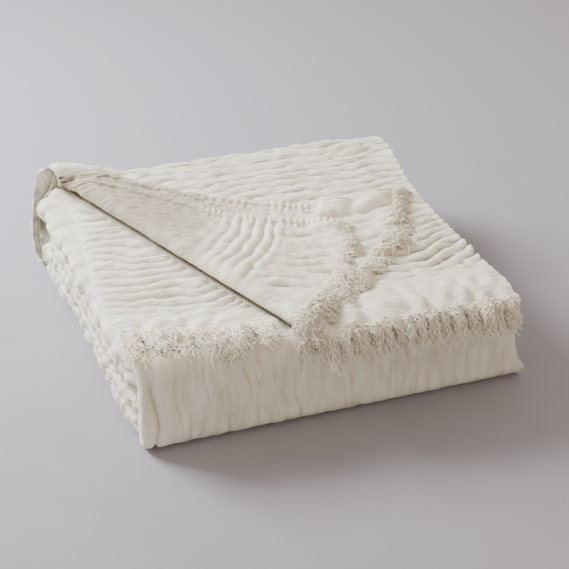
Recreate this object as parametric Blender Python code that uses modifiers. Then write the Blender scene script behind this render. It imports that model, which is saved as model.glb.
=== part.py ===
"""Crinkled linen throw, folded into a flat stack with one corner of its top layers turned back.

The throw is one sheet. Both of its fringed ends lie on top of the stack, and the rest goes
back and forth in twelve layers, nested like the turns of a flat roll. The corner of the two
top layers is turned back along a slanting crease. Three rows of fringe hang from narrow
strips that lie just off the edges of the cloth.

Metres, +Z up, +X to the right along the front edge, +Y to the back.
"""

import math
import random

import bmesh
import bpy
from mathutils import Vector

# Folded stack: where its outer turns lie, and how those inside them step in
FRONT_Y = -0.1955
BACK_Y = 0.2085
FRONT_CORNER = 0.018
BACK_CORNER = 0.016
CORNER_STEP = 0.0012
NEST_GAP = 0.0052
FRONT_BULGE = 0.0010
BACK_BULGE = 0.0040
INNER_BULGE_SHARE = 0.3

# Middle of the outline, fringe included, in the frame that the other places are given in
MIDDLE = Vector((-0.0136, -0.0008, 0.0))

# Side edges of the stack: y, left edge x at the top, on the floor, right edge x at the top, on the floor
SIDE_EDGES = (
    (-0.200, -0.2100, -0.2090, 0.2010, 0.2240),
    (-0.150, -0.2190, -0.2110, 0.1950, 0.2180),
    (-0.080, -0.2240, -0.2170, 0.1905, 0.2110),
    (0.000, -0.2190, -0.2240, 0.1860, 0.2080),
    (0.080, -0.2140, -0.2290, 0.1900, 0.2100),
    (0.150, -0.2120, -0.2330, 0.2000, 0.2120),
    (0.210, -0.2200, -0.2360, 0.2030, 0.2120),
)
EDGE_WAVE = 0.0010
EDGE_WAVE_ALONG = 61.0
EDGE_WAVE_DOWN = 9.0

# How far the turns at the back stand out to the left, by their place counted from the outside
LOOP_BULGE = {0: 0.019, 1: 0.013}
INNER_LOOP_BULGE = 0.005

# Cloth
CLOTH_THICKNESS = 0.0030
HEM_THICKNESS = 0.0040
LAYERS = 12
TOP_PITCH = 0.0055
THIRD_LAYER_Z = 0.1115

# Order in which the sheet runs through its layers, counted from the top
LAYER_ORDER = (1, 12, 3, 10, 5, 8, 7, 6, 9, 4, 11, 2)
END_LAYERS = (1, 2)
RIBBED_LAYERS = (1, 3)
END_Y = {1: -0.1920, 2: -0.1900}

# Layers whose side edges close towards each other in a rounded nose: upper, lower
NOSE_PAIRS = ((3, 4), (5, 6), (7, 8), (9, 10), (11, 12))
NOSE_GAP = 0.0012
NOSE_PUFF = 0.0032
NOSE_EDGE_WIDTH = 0.009
NOSE_WIDTH = 0.034
NOSE_FADE = 0.050

# Ribs of the crinkled weave that show from a step away, one crest to every second row
RIB_HEIGHT = 0.0010
RIB_WANDER = 0.0035
RIB_FADE = 0.030
RIB_FRONT_MARGIN = 0.045
RIB_SIDE_MARGIN = 0.008

# Turned corner: the crease runs from the back left to the front edge
CREASE_START_Y = 0.1740
CREASE_X_AT_START = -0.2010
CREASE_SLANT = 0.43
CREASE_BOW = 0.004
ROLL_RADIUS = {1: 0.0032, 2: 0.0087}
ROLL_SWELL = 0.0030
ROLL_SWELL_LENGTH = 0.30
ROLL_ONSET = 0.075
ROLL_SHARE_AT_START = 0.6
LEAST_CURL = 0.02
START_OUTWARD = Vector((-1.0, 0.0, 0.0))
CREASE_OUTWARD = Vector((-0.918, -0.396, 0.0))
TURN_LENGTH = 0.15
TURNED_ROW = Vector((0.686, 0.727, 0.0))
TURNED_RIPPLE = 0.0006
TURNED_RIPPLE_RISE = 0.05
CORNER_LIFT = 0.019
CORNER_LIFT_Y = 0.090
CORNER_LIFT_X = -0.110
CORNER_LIFT_FADE = 0.105
CORNER_LIFT_FLOOR = 0.05
CORNER_LIFT_RISE = 0.06

# Far edge of each turned layer: share of the way along the hem, x, y
TURNED_HEM = {
    1: (
        (0.00, -0.201, 0.181),
        (0.15, -0.148, 0.162),
        (0.30, -0.098, 0.128),
        (0.45, -0.052, 0.084),
        (0.60, 0.000, 0.054),
        (0.75, 0.050, 0.034),
        (0.88, 0.098, 0.031),
        (1.00, 0.142, 0.038),
    ),
    2: (
        (0.00, -0.199, 0.176),
        (0.20, -0.142, 0.145),
        (0.40, -0.092, 0.095),
        (0.60, -0.045, 0.042),
        (0.80, 0.015, 0.002),
        (1.00, 0.072, -0.028),
    ),
}
FRINGE_EDGE_BOW = {1: 0.018, 2: 0.010}
BOW_START = 0.2
BOW_DIRECTION = Vector((0.84, -0.54, 0.0))

# Rows of the sheet in each kind of stretch
ROWS_IN_LAYER = {1: 40, 2: 15, 3: 42}
ROWS_IN_INNER_LAYER = 3
CORNER_ROWS = 6
CORNER_ROWS_LENGTH = 0.042
OUTER_TURN_STEPS = 3
INNER_TURN_STEPS = 2
OUTER_WALL_ROWS = 3
TALL_WALL = 0.02
LEAST_WALL = 0.0005

# Columns across it: places 2 to 1 are turned over, 1 to 0 are the roll and 0 to -1 lie plain
TURNED_PLACES = (2.0, 1.90, 1.62, 1.30)
ROLL_COLUMNS = 4
PLAIN_COLUMNS = 6
COLUMNS = len(TURNED_PLACES) + ROLL_COLUMNS + PLAIN_COLUMNS
PLAIN_EDGE_SHARES = (0.0, 0.020, 0.050, 0.100)
EVEN_BELOW = 0.20
EVENING_HEIGHT = 0.75

# Fringe
STRIP_GAP = 0.0008
STRIP_WIDTH = 0.0035
STRIP_THICKNESS = 0.0022
STRAND_PITCH = 0.0044
STRAND_LENGTH = 0.040
LENGTH_SPREAD = 0.22
STRAND_SWAY = 0.16
STRAND_TAPER = 0.56
HEM_STEP = 0.002

# Each row of fringe: seed, strand length, how far the tips sink, joints of a strand
FRINGE_ROWS = {
    "fringe_outer": (11, STRAND_LENGTH, 0.0012, 1),
    "fringe_inner": (12, STRAND_LENGTH, 0.0008, 1),
    "fringe_under": (13, STRAND_LENGTH * 0.95, 0.0, 3),
}

# Roots of the row of fringe on the third layer
FRONT_ROW_LEFT_X = -0.2160
FRONT_ROW_RIGHT_X = -0.0620
FRONT_ROW_Y = -0.1340
FRONT_ROW_RUN = 0.0360
FRONT_ROW_CURVE = 0.7
FRONT_ROW_STEPS = 40
FRONT_ROW_CLEARANCE = 0.0009

CLOTH_COLOUR = (0.72, 0.68, 0.58, 1.0)
FRINGE_COLOUR = (0.78, 0.75, 0.67, 1.0)


def smooth(t):
    """Rises from 0 to 1 with level ends."""
    t = min(max(t, 0.0), 1.0)
    return t * t * (3.0 - 2.0 * t)


def mix(a, b, t):
    return a + (b - a) * t


def spaced(start, end, count):
    """Count + 1 even values from start to end."""
    return [mix(start, end, i / count) for i in range(count + 1)]


def layer_z(layer):
    """Height of a layer's middle surface, counted from the top of the stack."""
    if layer <= 3:
        return THIRD_LAYER_Z + (3 - layer) * TOP_PITCH
    floor_layer = CLOTH_THICKNESS / 2
    return mix(THIRD_LAYER_Z, floor_layer, (layer - 3) / (LAYERS - 3))


def inner_pitch():
    return layer_z(LAYERS - 1) - layer_z(LAYERS)


def through(table, place):
    """The values of a table at a place in its first column, on a smooth curve through its rows."""
    last = len(table) - 2
    k = max(i for i in range(last + 1) if table[i][0] <= place or i == 0)
    before, here, after, beyond = table[max(k - 1, 0)], table[k], table[k + 1], table[min(k + 2, last + 1)]
    span = after[0] - here[0]
    t = (place - here[0]) / span
    values = []
    for column in range(1, len(here)):
        slope_here = (after[column] - before[column]) / (after[0] - before[0]) * span
        slope_after = (beyond[column] - here[column]) / (beyond[0] - here[0]) * span
        values.append(
            (2 * t**3 - 3 * t**2 + 1) * here[column]
            + (t**3 - 2 * t**2 + t) * slope_here
            + (3 * t**2 - 2 * t**3) * after[column]
            + (t**3 - t**2) * slope_after
        )
    return values


def side_edges(y, z, bulge):
    """x of the left and the right edge of the cloth at a place and height of the stack."""
    top_left, floor_left, top_right, floor_right = through(SIDE_EDGES, y)
    depth = 1.0 - min(z / THIRD_LAYER_Z, 1.0)
    wave = EDGE_WAVE * math.sin(y * EDGE_WAVE_ALONG + depth * EDGE_WAVE_DOWN) * smooth(depth * 8.0)
    left = mix(top_left, floor_left, depth) - bulge + wave
    right = mix(top_right, floor_right, depth**2) + bulge * 0.3 + wave
    return left, right


def rib(crest, x, y):
    """Height of a crinkle rib, which runs along X. crest is 1 on a crest and -1 in a trough."""
    strength = 0.75 + 0.25 * math.sin(x * 23.0 + y * 31.0)
    return RIB_HEIGHT * strength * crest


def wander(x, y):
    """How far a rib strays along Y."""
    return RIB_WANDER * (0.6 * math.sin(x * 17.0 + 0.6 + y * 3.0) + 0.4 * math.sin(x * 41.0 + 2.0))


def over_front_edge(point):
    """Bends what lies on the third layer down over the rounded front edge of the stack."""
    corner_y = FRONT_Y + FRONT_CORNER
    if point.y >= corner_y:
        return point
    radius = FRONT_CORNER + point.z - THIRD_LAYER_Z
    arc = corner_y - point.y
    angle = min(arc / radius, math.pi / 2)
    hang = arc - angle * radius
    return Vector((
        point.x,
        corner_y - radius * math.sin(angle),
        THIRD_LAYER_Z - FRONT_CORNER + radius * math.cos(angle) - hang,
    ))


def crease_x(y):
    """The axis that the turned corner rolls about."""
    bow = CREASE_BOW * math.sin(math.pi * crease_share(1, y))
    return CREASE_X_AT_START + (CREASE_START_Y - y) * CREASE_SLANT - bow


def crease_share(layer, y):
    """How far along the crease a row of an end layer lies: 0 at the back and 1 at its fringed edge."""
    return (CREASE_START_Y - y) / (CREASE_START_Y - END_Y[layer])


def corner_lift(x, y):
    """How far the back left corner of the two end layers stands up where it begins to roll."""
    return (
        CORNER_LIFT
        * smooth((y - CORNER_LIFT_Y) / CORNER_LIFT_FADE)
        * smooth((CORNER_LIFT_X - x) / CORNER_LIFT_FADE)
    )


def roll_radius(layer, share):
    """Radius of a layer's roll. Both layers turn about one line, and lie flat at the start."""
    curl = max(smooth(share / ROLL_ONSET), LEAST_CURL)
    outer = (ROLL_RADIUS[2] + ROLL_SWELL * (1.0 - smooth(share / ROLL_SWELL_LENGTH))) / curl
    return outer - (ROLL_RADIUS[2] - ROLL_RADIUS[layer])


def turned_point(layer, share, along):
    """A point of the turned part. along is 0 at the crease, 1 where the roll ends and 2 at the hem."""
    y = mix(CREASE_START_Y, END_Y[layer], share)
    axis = Vector((crease_x(y), y, layer_z(layer)))
    lean = smooth(share / TURN_LENGTH)
    radius = roll_radius(layer, share)
    half_turn = math.pi * radius
    hem_x, hem_y = through(TURNED_HEM[layer], share)
    reach = Vector((hem_x - axis.x, hem_y - axis.y, 0.0))
    first_width = axis.x - side_edges(y, axis.z, 0.0)[0]
    width = mix(first_width, half_turn + reach.length, lean**2)
    rolled = min(half_turn, ROLL_SHARE_AT_START * width)
    place = rolled * along if along <= 1.0 else mix(rolled, width, along - 1.0)
    angle = min(place / radius, math.pi)
    outward = mix(START_OUTWARD, CREASE_OUTWARD, lean).normalized()
    axis.z += corner_lift(axis.x, y)
    point = axis + outward * (radius * math.sin(angle))
    point.z += radius * (1.0 - math.cos(angle))
    step = place - half_turn
    if step > 0.0:
        settled = smooth((share - TURN_LENGTH) / TURN_LENGTH)
        heading = mix(TURNED_ROW, reach.normalized(), settled).normalized()
        bow = FRINGE_EDGE_BOW[layer] * smooth((share - BOW_START) / (1.0 - BOW_START))
        point += heading * step + BOW_DIRECTION * (bow * math.sin(math.pi * (along - 1.0)))
        ripple = TURNED_RIPPLE * math.sin(46.0 * point.x + 60.0 * point.y)
        point.z += ripple * smooth(step / TURNED_RIPPLE_RISE)
    return point


def flat_top_point(layer, y, column_place, crest=0.0):
    """A point of one of the two end layers before it is bent over the front edge.

    column_place runs from -1 at the right edge, over 0 at the crease, to 2 at the turned hem.
    """
    if column_place > 0.0:
        return turned_point(layer, max(crease_share(layer, y), 0.0), column_place)
    z = layer_z(layer)
    x = mix(crease_x(y), side_edges(y, z, 0.0)[1], -column_place)
    calm = smooth(-column_place * PLAIN_COLUMNS)
    calm *= smooth((y - END_Y[layer]) / RIB_FADE) * smooth((BACK_Y - RIB_FADE - y) / RIB_FADE)
    return Vector((x, y + calm * wander(x, y), z + calm * rib(crest, x, y) + corner_lift(x, y)))


def column_places():
    """Places across an end layer, from the turned hem to the right edge."""
    return list(TURNED_PLACES) + spaced(1.0, 0.0, ROLL_COLUMNS)[:-1] + spaced(0.0, -1.0, PLAIN_COLUMNS)


def plain_shares():
    """Shares of the width for the same columns where the sheet lies plain."""
    near = list(PLAIN_EDGE_SHARES)
    middle = spaced(near[-1], 1.0 - near[-1], COLUMNS + 2 - 2 * len(near))
    return near[:-1] + middle + [1.0 - share for share in near[-2::-1]]


def turn_rows(side, first, second):
    """Section points (y, z, share of the height) of the turn that joins two layers, and its nest number.

    side is 1 for a turn at the back and -1 for one at the front. A turn goes round a corner, along a
    straight wall where there is room for one, and round a second corner.
    """
    nest = min(first, second) - (1 if side > 0 else 3)
    edge_y = (BACK_Y if side > 0 else FRONT_Y) - side * NEST_GAP * nest
    z_first = layer_z(first)
    z_second = layer_z(second)
    height = abs(z_first - z_second)
    down = -1.0 if z_second < z_first else 1.0
    radius = min((BACK_CORNER if side > 0 else FRONT_CORNER) - CORNER_STEP * nest, height / 2)
    straight = height - 2 * radius
    steps = OUTER_TURN_STEPS if nest == 0 else INNER_TURN_STEPS
    wall_rows = OUTER_WALL_ROWS if nest == 0 else int(straight > TALL_WALL)
    first_corner = []
    second_corner = []
    for angle in spaced(0.0, math.pi / 2, steps):
        y = edge_y - side * radius * (1 - math.sin(angle))
        fall = down * radius * (1 - math.cos(angle))
        first_corner.append((y, z_first + fall))
        second_corner.insert(0, (y, z_second - fall))
    wall = [(edge_y, z_first + down * (radius + drop)) for drop in spaced(0.0, straight, wall_rows + 1)[1:-1]]
    if straight < LEAST_WALL:
        second_corner = second_corner[1:]
    bulge = BACK_BULGE if side > 0 else FRONT_BULGE
    if nest > 0:
        bulge *= INNER_BULGE_SHARE
    shaped = []
    for y, z in first_corner + wall + second_corner:
        rise = abs(z - z_first) / height
        shaped.append((y + side * bulge * math.sin(math.pi * rise), z, rise))
    return shaped, nest


def layer_places(layer, start_y, end_y, count):
    """Places of a layer's rows: closer together where the turned corner begins to roll."""
    if layer not in END_LAYERS:
        return spaced(start_y, end_y, count)
    back = max(start_y, end_y)
    front = min(start_y, end_y)
    roll_front = CREASE_START_Y - CORNER_ROWS_LENGTH
    places = [front] + spaced(FRONT_Y + FRONT_CORNER, roll_front, count - CORNER_ROWS)
    places += spaced(roll_front, CREASE_START_Y, CORNER_ROWS)[1:] + [back]
    return places if start_y < end_y else places[::-1]


def section_rows():
    """Every row of the sheet in order. A row is either of a layer or of a turn between two layers."""
    rows = []
    for k, layer in enumerate(LAYER_ORDER):
        forward = k % 2 == 0
        start_y = END_Y.get(layer) if k == 0 else rows[-1]["y"]
        if k + 1 < LAYERS:
            turn, nest = turn_rows(1.0 if forward else -1.0, layer, LAYER_ORDER[k + 1])
            end_y = turn[0][0]
        else:
            turn, nest = [], 0
            end_y = END_Y[layer]
        count = ROWS_IN_LAYER.get(layer, ROWS_IN_INNER_LAYER)
        places = layer_places(layer, start_y, end_y, count)
        first = 0 if k == 0 else 1
        for i, y in list(enumerate(places))[first:]:
            crest = (1.0 if i % 2 else -1.0) if layer in RIBBED_LAYERS else 0.0
            rows.append({"kind": "layer", "layer": layer, "y": y, "z": layer_z(layer), "crest": crest})
        for y, z, rise in turn[1:]:
            joined = (layer, LAYER_ORDER[k + 1])
            rows.append({"kind": "turn", "layers": joined, "y": y, "z": z, "rise": rise, "nest": nest})
    return rows


def nose(layer, y, from_edge):
    """How far a layer rises or falls near its side edge, where a pair of layers closes in a nose."""
    upper, lower = next((pair for pair in NOSE_PAIRS if layer in pair), (0, 0))
    if not upper or layer == LAYERS:
        return 0.0
    fade = smooth((y - FRONT_Y - FRONT_CORNER) / NOSE_FADE) * smooth((BACK_Y - BACK_CORNER - y) / NOSE_FADE)
    reach = inner_pitch() - HEM_THICKNESS - NOSE_GAP
    if lower != LAYERS:
        reach *= 0.5
    closing = smooth(1.0 - from_edge / NOSE_EDGE_WIDTH)
    puff = smooth(from_edge / NOSE_EDGE_WIDTH) * smooth(1.0 - (from_edge - NOSE_EDGE_WIDTH) / NOSE_WIDTH)
    swell = 0.0 if upper == 3 and layer == upper else NOSE_PUFF * puff
    lift = (swell - reach * closing) * fade
    return lift if layer == upper else -lift


def plain_row(row, shares):
    """Points of a row that isn't part of the turned corner."""
    y, z = row["y"], row["z"]
    bulge = 0.0
    lifted = row.get("layer") in END_LAYERS
    if row["kind"] == "turn" and y > 0.0:
        bulge = LOOP_BULGE.get(row["nest"], INNER_LOOP_BULGE) * math.sin(math.pi * row["rise"])
        lifted = min(row["layers"]) in END_LAYERS
    left, right = side_edges(y, z, bulge)
    points = []
    for share in shares:
        x = mix(left, right, share)
        lift = 0.0
        stray = 0.0
        if row["kind"] == "layer":
            lift += nose(row["layer"], y, min(x - left, right - x))
            calm = smooth((y - FRONT_Y - RIB_FRONT_MARGIN) / RIB_FADE)
            calm *= smooth((BACK_Y - RIB_FADE - y) / RIB_FADE) * smooth((x - left) / RIB_SIDE_MARGIN)
            lift += calm * rib(row["crest"], x, y)
            stray = calm * wander(x, y) if row["crest"] else 0.0
        if lifted:
            lift += corner_lift(x, y) * smooth((z - CORNER_LIFT_FLOOR) / CORNER_LIFT_RISE)
        points.append(Vector((x, y + stray, z + lift)))
    return points


def sheet_points():
    """The middle surface of the whole sheet, row by row.

    The columns crowd towards the left in the end layers, and even out on the way down their back turns.
    """
    places = column_places()
    even = plain_shares()
    left, right = side_edges(CREASE_START_Y, THIRD_LAYER_Z, 0.0)
    crowded = [(flat_top_point(1, CREASE_START_Y, place).x - left) / (right - left) for place in places]
    points = []
    for row in section_rows():
        layer, y = row.get("layer"), row["y"]
        if layer in END_LAYERS and y <= CREASE_START_Y:
            top = [flat_top_point(layer, y, place, row["crest"]) for place in places]
            points.append([over_front_edge(point) for point in top])
            continue
        blend = 0.0
        if layer in END_LAYERS:
            blend = 1.0
        elif 1 in row.get("layers", ()) or 2 in row.get("layers", ()):
            blend = smooth((row["z"] / layer_z(1) - EVEN_BELOW) / EVENING_HEIGHT)
        points.append(plain_row(row, [mix(a, b, blend) for a, b in zip(even, crowded)]))
    return points


def new_material(name, colour, roughness):
    material = bpy.data.materials.new(name)
    material.use_nodes = True
    shader = material.node_tree.nodes["Principled BSDF"]
    shader.inputs["Base Color"].default_value = colour
    shader.inputs["Roughness"].default_value = roughness
    shader.inputs["Metallic"].default_value = 0.0
    return material


def add_object(bm, name, collection, material):
    mesh = bpy.data.meshes.new(name)
    bmesh.ops.translate(bm, verts=bm.verts[:], vec=-MIDDLE)
    bm.to_mesh(mesh)
    bm.free()
    mesh.materials.append(material)
    obj = bpy.data.objects.new(name, mesh)
    collection.objects.link(obj)
    return obj


def build_cloth(collection, material):
    """The whole sheet: a grid moved onto its folds, then given its thickness."""
    points = sheet_points()
    rows = len(points) - 1
    bm = bmesh.new()
    bmesh.ops.create_grid(bm, x_segments=COLUMNS, y_segments=rows, size=0.5)
    for vert in bm.verts:
        column = round((vert.co.x + 0.5) * COLUMNS)
        row = round((vert.co.y + 0.5) * rows)
        vert.co = points[row][column]
    obj = add_object(bm, "cloth", collection, material)
    hem = obj.vertex_groups.new(name="hem")
    lowest_hem = layer_z(LAYERS) + HEM_THICKNESS
    for vert in obj.data.vertices:
        column = vert.index % (COLUMNS + 1)
        if column in (0, COLUMNS) and vert.co.z > lowest_hem:
            hem.add([vert.index], 1.0, "REPLACE")
    solidify = obj.modifiers.new("thickness", "SOLIDIFY")
    solidify.thickness = HEM_THICKNESS
    solidify.offset = 0.0
    solidify.vertex_group = "hem"
    solidify.thickness_vertex_group = CLOTH_THICKNESS / HEM_THICKNESS
    return obj


def end_edge(layer):
    """Points along the fringed edge of an end layer, from its right corner to its turned corner."""
    edge = []
    for place in column_places()[::-1]:
        tip = flat_top_point(layer, END_Y[layer], place)
        inner = flat_top_point(layer, END_Y[layer] + HEM_STEP, place)
        edge.append((tip, (tip - inner).normalized()))
    return edge


def front_row_edge():
    """A line on the third layer where the fringe of the layer below the turned corner is rooted."""
    edge = []
    height = THIRD_LAYER_Z + CLOTH_THICKNESS / 2 + STRIP_THICKNESS / 2 + FRONT_ROW_CLEARANCE
    for share in spaced(1.0, 0.0, FRONT_ROW_STEPS):
        x = mix(FRONT_ROW_LEFT_X, FRONT_ROW_RIGHT_X, share)
        y = FRONT_ROW_Y - FRONT_ROW_RUN * share**FRONT_ROW_CURVE
        edge.append((Vector((x, y, height)), Vector((0.0, -1.0, 0.0))))
    return edge


def walk(edge, pitch):
    """Even places along an edge: (point, outward direction), a pitch apart."""
    total = sum((b[0] - a[0]).length for a, b in zip(edge, edge[1:]))
    count = max(int(total / pitch), 1)
    walked, travelled, k = [], 0.0, 0
    for i in range(count + 1):
        goal = total * i / count
        while k < len(edge) - 2 and travelled + (edge[k + 1][0] - edge[k][0]).length < goal:
            travelled += (edge[k + 1][0] - edge[k][0]).length
            k += 1
        span = max((edge[k + 1][0] - edge[k][0]).length, 1e-9)
        t = min(max((goal - travelled) / span, 0.0), 1.0)
        walked.append((edge[k][0].lerp(edge[k + 1][0], t), edge[k][1].lerp(edge[k + 1][1], t).normalized()))
    return walked


def build_fringe(name, edge, collection, material):
    """A narrow strip along an edge with tapering strands pulled out of its outer side."""
    seed, length, drop, joints = FRINGE_ROWS[name]
    stations = walk(edge, STRAND_PITCH)
    cells = len(stations) - 1
    chance = random.Random(seed)
    bm = bmesh.new()
    bmesh.ops.create_grid(bm, x_segments=cells, y_segments=1, size=0.5)
    for vert in bm.verts:
        vert.co.x = (vert.co.x + 0.5) * cells
        vert.co.y = STRIP_GAP + (vert.co.y + 0.5) * STRIP_WIDTH
        vert.co.z = -STRIP_THICKNESS / 2
    bmesh.ops.solidify(bm, geom=bm.faces[:], thickness=-STRIP_THICKNESS)
    bm.normal_update()
    outer = STRIP_GAP + STRIP_WIDTH
    roots = [f for f in bm.faces if all(abs(v.co.y - outer) < 1e-6 for v in f.verts)]
    roots.sort(key=lambda f: f.calc_center_median().x)
    for root in roots:
        reach = length * (1.0 + chance.uniform(-LENGTH_SPREAD, LENGTH_SPREAD))
        sway = chance.uniform(-STRAND_SWAY, STRAND_SWAY)
        face = root
        centre = root.calc_center_median()
        flat = [vert.co - centre for vert in root.verts]
        for joint in range(1, joints + 1):
            share = joint / (joints + 1)
            face = bmesh.ops.extrude_discrete_faces(bm, faces=[face])["faces"][0]
            middle = Vector((centre.x + share * sway, outer + share * reach, 0.0))
            for vert, offset in zip(face.verts, flat):
                vert.co = middle + offset * (1.0 - STRAND_TAPER * share)
        face = bmesh.ops.extrude_discrete_faces(bm, faces=[face])["faces"][0]
        tip = Vector((centre.x + sway, outer + reach, 0.0))
        bmesh.ops.pointmerge(bm, verts=face.verts[:], merge_co=tip)
    bmesh.ops.dissolve_degenerate(bm, edges=bm.edges[:], dist=1e-7)
    for vert in bm.verts:
        vert.co = over_front_edge(place_on_edge(stations, vert.co, drop, length))
    bmesh.ops.recalc_face_normals(bm, faces=bm.faces[:])
    if bm.calc_volume(signed=True) < 0.0:
        bmesh.ops.reverse_faces(bm, faces=bm.faces[:])
    return add_object(bm, name, collection, material)


def place_on_edge(stations, flat, drop, length):
    """Moves a point given as (cells along, distance out, height) onto the edge that it follows."""
    cells = len(stations) - 1
    k = min(max(int(flat.x), 0), cells - 1)
    t = flat.x - k
    point = stations[k][0] + (stations[k + 1][0] - stations[k][0]) * t
    outward = stations[k][1].lerp(stations[k + 1][1], min(max(t, 0.0), 1.0)).normalized()
    side = tangent_at(stations, k).lerp(tangent_at(stations, k + 1), min(max(t, 0.0), 1.0))
    up = side.cross(outward).normalized()
    sink = drop * (flat.y / length) ** 2
    return point + outward * flat.y + up * flat.z - Vector((0.0, 0.0, sink))


def tangent_at(stations, k):
    before = stations[max(k - 1, 0)][0]
    after = stations[min(k + 1, len(stations) - 1)][0]
    return (after - before).normalized()


def main():
    for obj in list(bpy.data.objects):
        bpy.data.objects.remove(obj, do_unlink=True)
    throw = bpy.data.collections.new("linen_throw")
    bpy.context.scene.collection.children.link(throw)
    cloth = new_material("crinkled_linen", CLOTH_COLOUR, 0.95)
    yarn = new_material("fringe_yarn", FRINGE_COLOUR, 0.95)
    build_cloth(throw, cloth)
    build_fringe("fringe_outer", end_edge(1), throw, yarn)
    build_fringe("fringe_inner", end_edge(2), throw, yarn)
    build_fringe("fringe_under", front_row_edge(), throw, yarn)


main()
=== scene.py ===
"""The folded linen throw as it looks: crinkled gauze, puckered hems and curly fringe.

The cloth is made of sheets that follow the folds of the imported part. Each is a grid that is
moved by formulas, and then gets its thickness. The formulas give the same places as the part's.
Lengths are in metres.
"""

import math
import random

import bmesh
import bpy
import numpy as np
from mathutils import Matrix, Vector


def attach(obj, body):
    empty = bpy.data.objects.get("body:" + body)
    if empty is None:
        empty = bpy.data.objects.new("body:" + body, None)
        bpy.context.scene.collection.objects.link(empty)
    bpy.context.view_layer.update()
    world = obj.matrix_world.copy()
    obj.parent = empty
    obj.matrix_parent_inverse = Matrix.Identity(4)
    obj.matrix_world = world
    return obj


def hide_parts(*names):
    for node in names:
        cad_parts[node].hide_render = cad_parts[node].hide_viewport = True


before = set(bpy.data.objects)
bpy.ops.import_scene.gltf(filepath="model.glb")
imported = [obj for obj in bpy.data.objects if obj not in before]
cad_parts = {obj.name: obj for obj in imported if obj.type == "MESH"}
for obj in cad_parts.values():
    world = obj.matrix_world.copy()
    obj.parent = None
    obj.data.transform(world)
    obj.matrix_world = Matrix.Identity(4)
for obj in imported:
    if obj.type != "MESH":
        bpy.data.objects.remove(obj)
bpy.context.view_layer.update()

from types import SimpleNamespace

# Folds of the part, in the frame of its source. MIDDLE is taken off to come to the model's frame
MIDDLE = np.array((-0.0136, -0.0008, 0.0))
FRONT_Y = -0.1955
BACK_Y = 0.2085
FRONT_CORNER = 0.018
BACK_CORNER = 0.016
CORNER_STEP = 0.0012
NEST_GAP = 0.0052
FRONT_BULGE = 0.0010
BACK_BULGE = 0.0040
INNER_BULGE_SHARE = 0.3
FLOOR_LAYER_Z = 0.0015
THIRD_LAYER_Z = 0.1115
TOP_PITCH = 0.0055
END_Y = {1: -0.1920, 2: -0.1900}

# Side edges: y, left edge x at the top, on the floor, right edge x at the top, on the floor
SIDE_EDGES = (
    (-0.200, -0.2100, -0.2090, 0.2010, 0.2240),
    (-0.150, -0.2190, -0.2110, 0.1950, 0.2180),
    (-0.080, -0.2240, -0.2170, 0.1905, 0.2110),
    (0.000, -0.2190, -0.2240, 0.1860, 0.2080),
    (0.080, -0.2140, -0.2290, 0.1900, 0.2100),
    (0.150, -0.2120, -0.2330, 0.2000, 0.2120),
    (0.210, -0.2200, -0.2360, 0.2030, 0.2120),
)

# Turn of the end layers at the back: its bulge to the left, its lower end, and the room behind its corner
LOOP_BULGE = {1: 0.0240, 2: 0.0165}
LOOP_BOTTOM = {1: FLOOR_LAYER_Z, 2: 0.0110}
LOOP_ROOM = 0.0035

# Turned corner. Its crease slants, so the roll reaches ROLL_SPREAD_X times its radius along x
CREASE_START_Y = 0.1910
CREASE_X_AT_START = -0.2000
CREASE_SLANT = 0.440
CREASE_BOW = 0.0015
ROLL_RADIUS = {1: 0.0032, 2: 0.0087}
ROLL_SPREAD_X = 1.093
ROLL_SWELL = 0.0036
ROLL_SWELL_LENGTH = 0.34
ROLL_ONSET = 0.032
ROLL_SHARE_AT_START = 0.6
LEAST_CURL = 0.02
TURN_LENGTH = 0.12
CREASE_OUTWARD = (-0.918, -0.396)
TURNED_ROW = (0.686, 0.727)
CORNER_LIFT = 0.0235
CORNER_LIFT_Y = 0.179
CORNER_LIFT_X = -0.125
CORNER_LIFT_FADE_Y = 0.028
CORNER_LIFT_FADE_X = 0.080
TURNED_HEM = {
    1: (
        (0.00, -0.200, 0.200),
        (0.07, -0.182, 0.197),
        (0.17, -0.149, 0.172),
        (0.32, -0.098, 0.136),
        (0.47, -0.050, 0.094),
        (0.61, 0.000, 0.067),
        (0.76, 0.050, 0.042),
        (0.885, 0.103, 0.035),
        (1.00, 0.166, 0.043),
    ),
    2: (
        (0.00, -0.199, 0.188),
        (0.09, -0.181, 0.160),
        (0.21, -0.139, 0.130),
        (0.41, -0.090, 0.094),
        (0.61, -0.042, 0.043),
        (0.81, 0.017, 0.012),
        (1.00, 0.076, -0.020),
    ),
}
FRINGE_EDGE_BOW = {1: 0.026, 2: 0.016}
BOW_START = 0.2
BOW_DIRECTION = (0.84, -0.54)
TURNED_SINK = {1: 0.0034, 2: 0.0058}
TURNED_SINK_REACH = 0.085

# Cloth
CLOTH_THICKNESS = 0.0017
HEM_THICKNESS = 0.0030
HEM_WIDTH = 0.0090
PUCKER_PITCH = 0.0086
RIB_PITCH_FRONT = 0.0140
RIB_PITCH_BACK = 0.0205

# Edges of the end layers where they aren't turned over: how far the fringed end lies over the front and
# how stiffly, the scallops of the right edge, and how far its back corner is drawn in and down
END_OVERHANG = 0.0240
END_STIFFNESS = 0.60
EDGE_SCALLOP = 0.0008
CORNER_INSET = 0.020
CORNER_DROP = 0.003

# Relief of the end layers where they aren't turned over
TOP_RIB_HEIGHT = 0.0059
TOP_CRINKLE_HEIGHT = 0.00085
SCALLOP_HEIGHT = 0.0014
PLEAT_HEIGHT = 0.0012
PLEAT_PITCH = 0.0056
TOP_PUFF_HEIGHT = 0.0072

# Swollen lobes along a fringed end, which painted light makes lighter than the rest of the cloth
END_PUFF_PITCH = 0.037
END_PUFF_WIDTH = 0.022
END_PUFF_MIDDLE = 0.016

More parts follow.
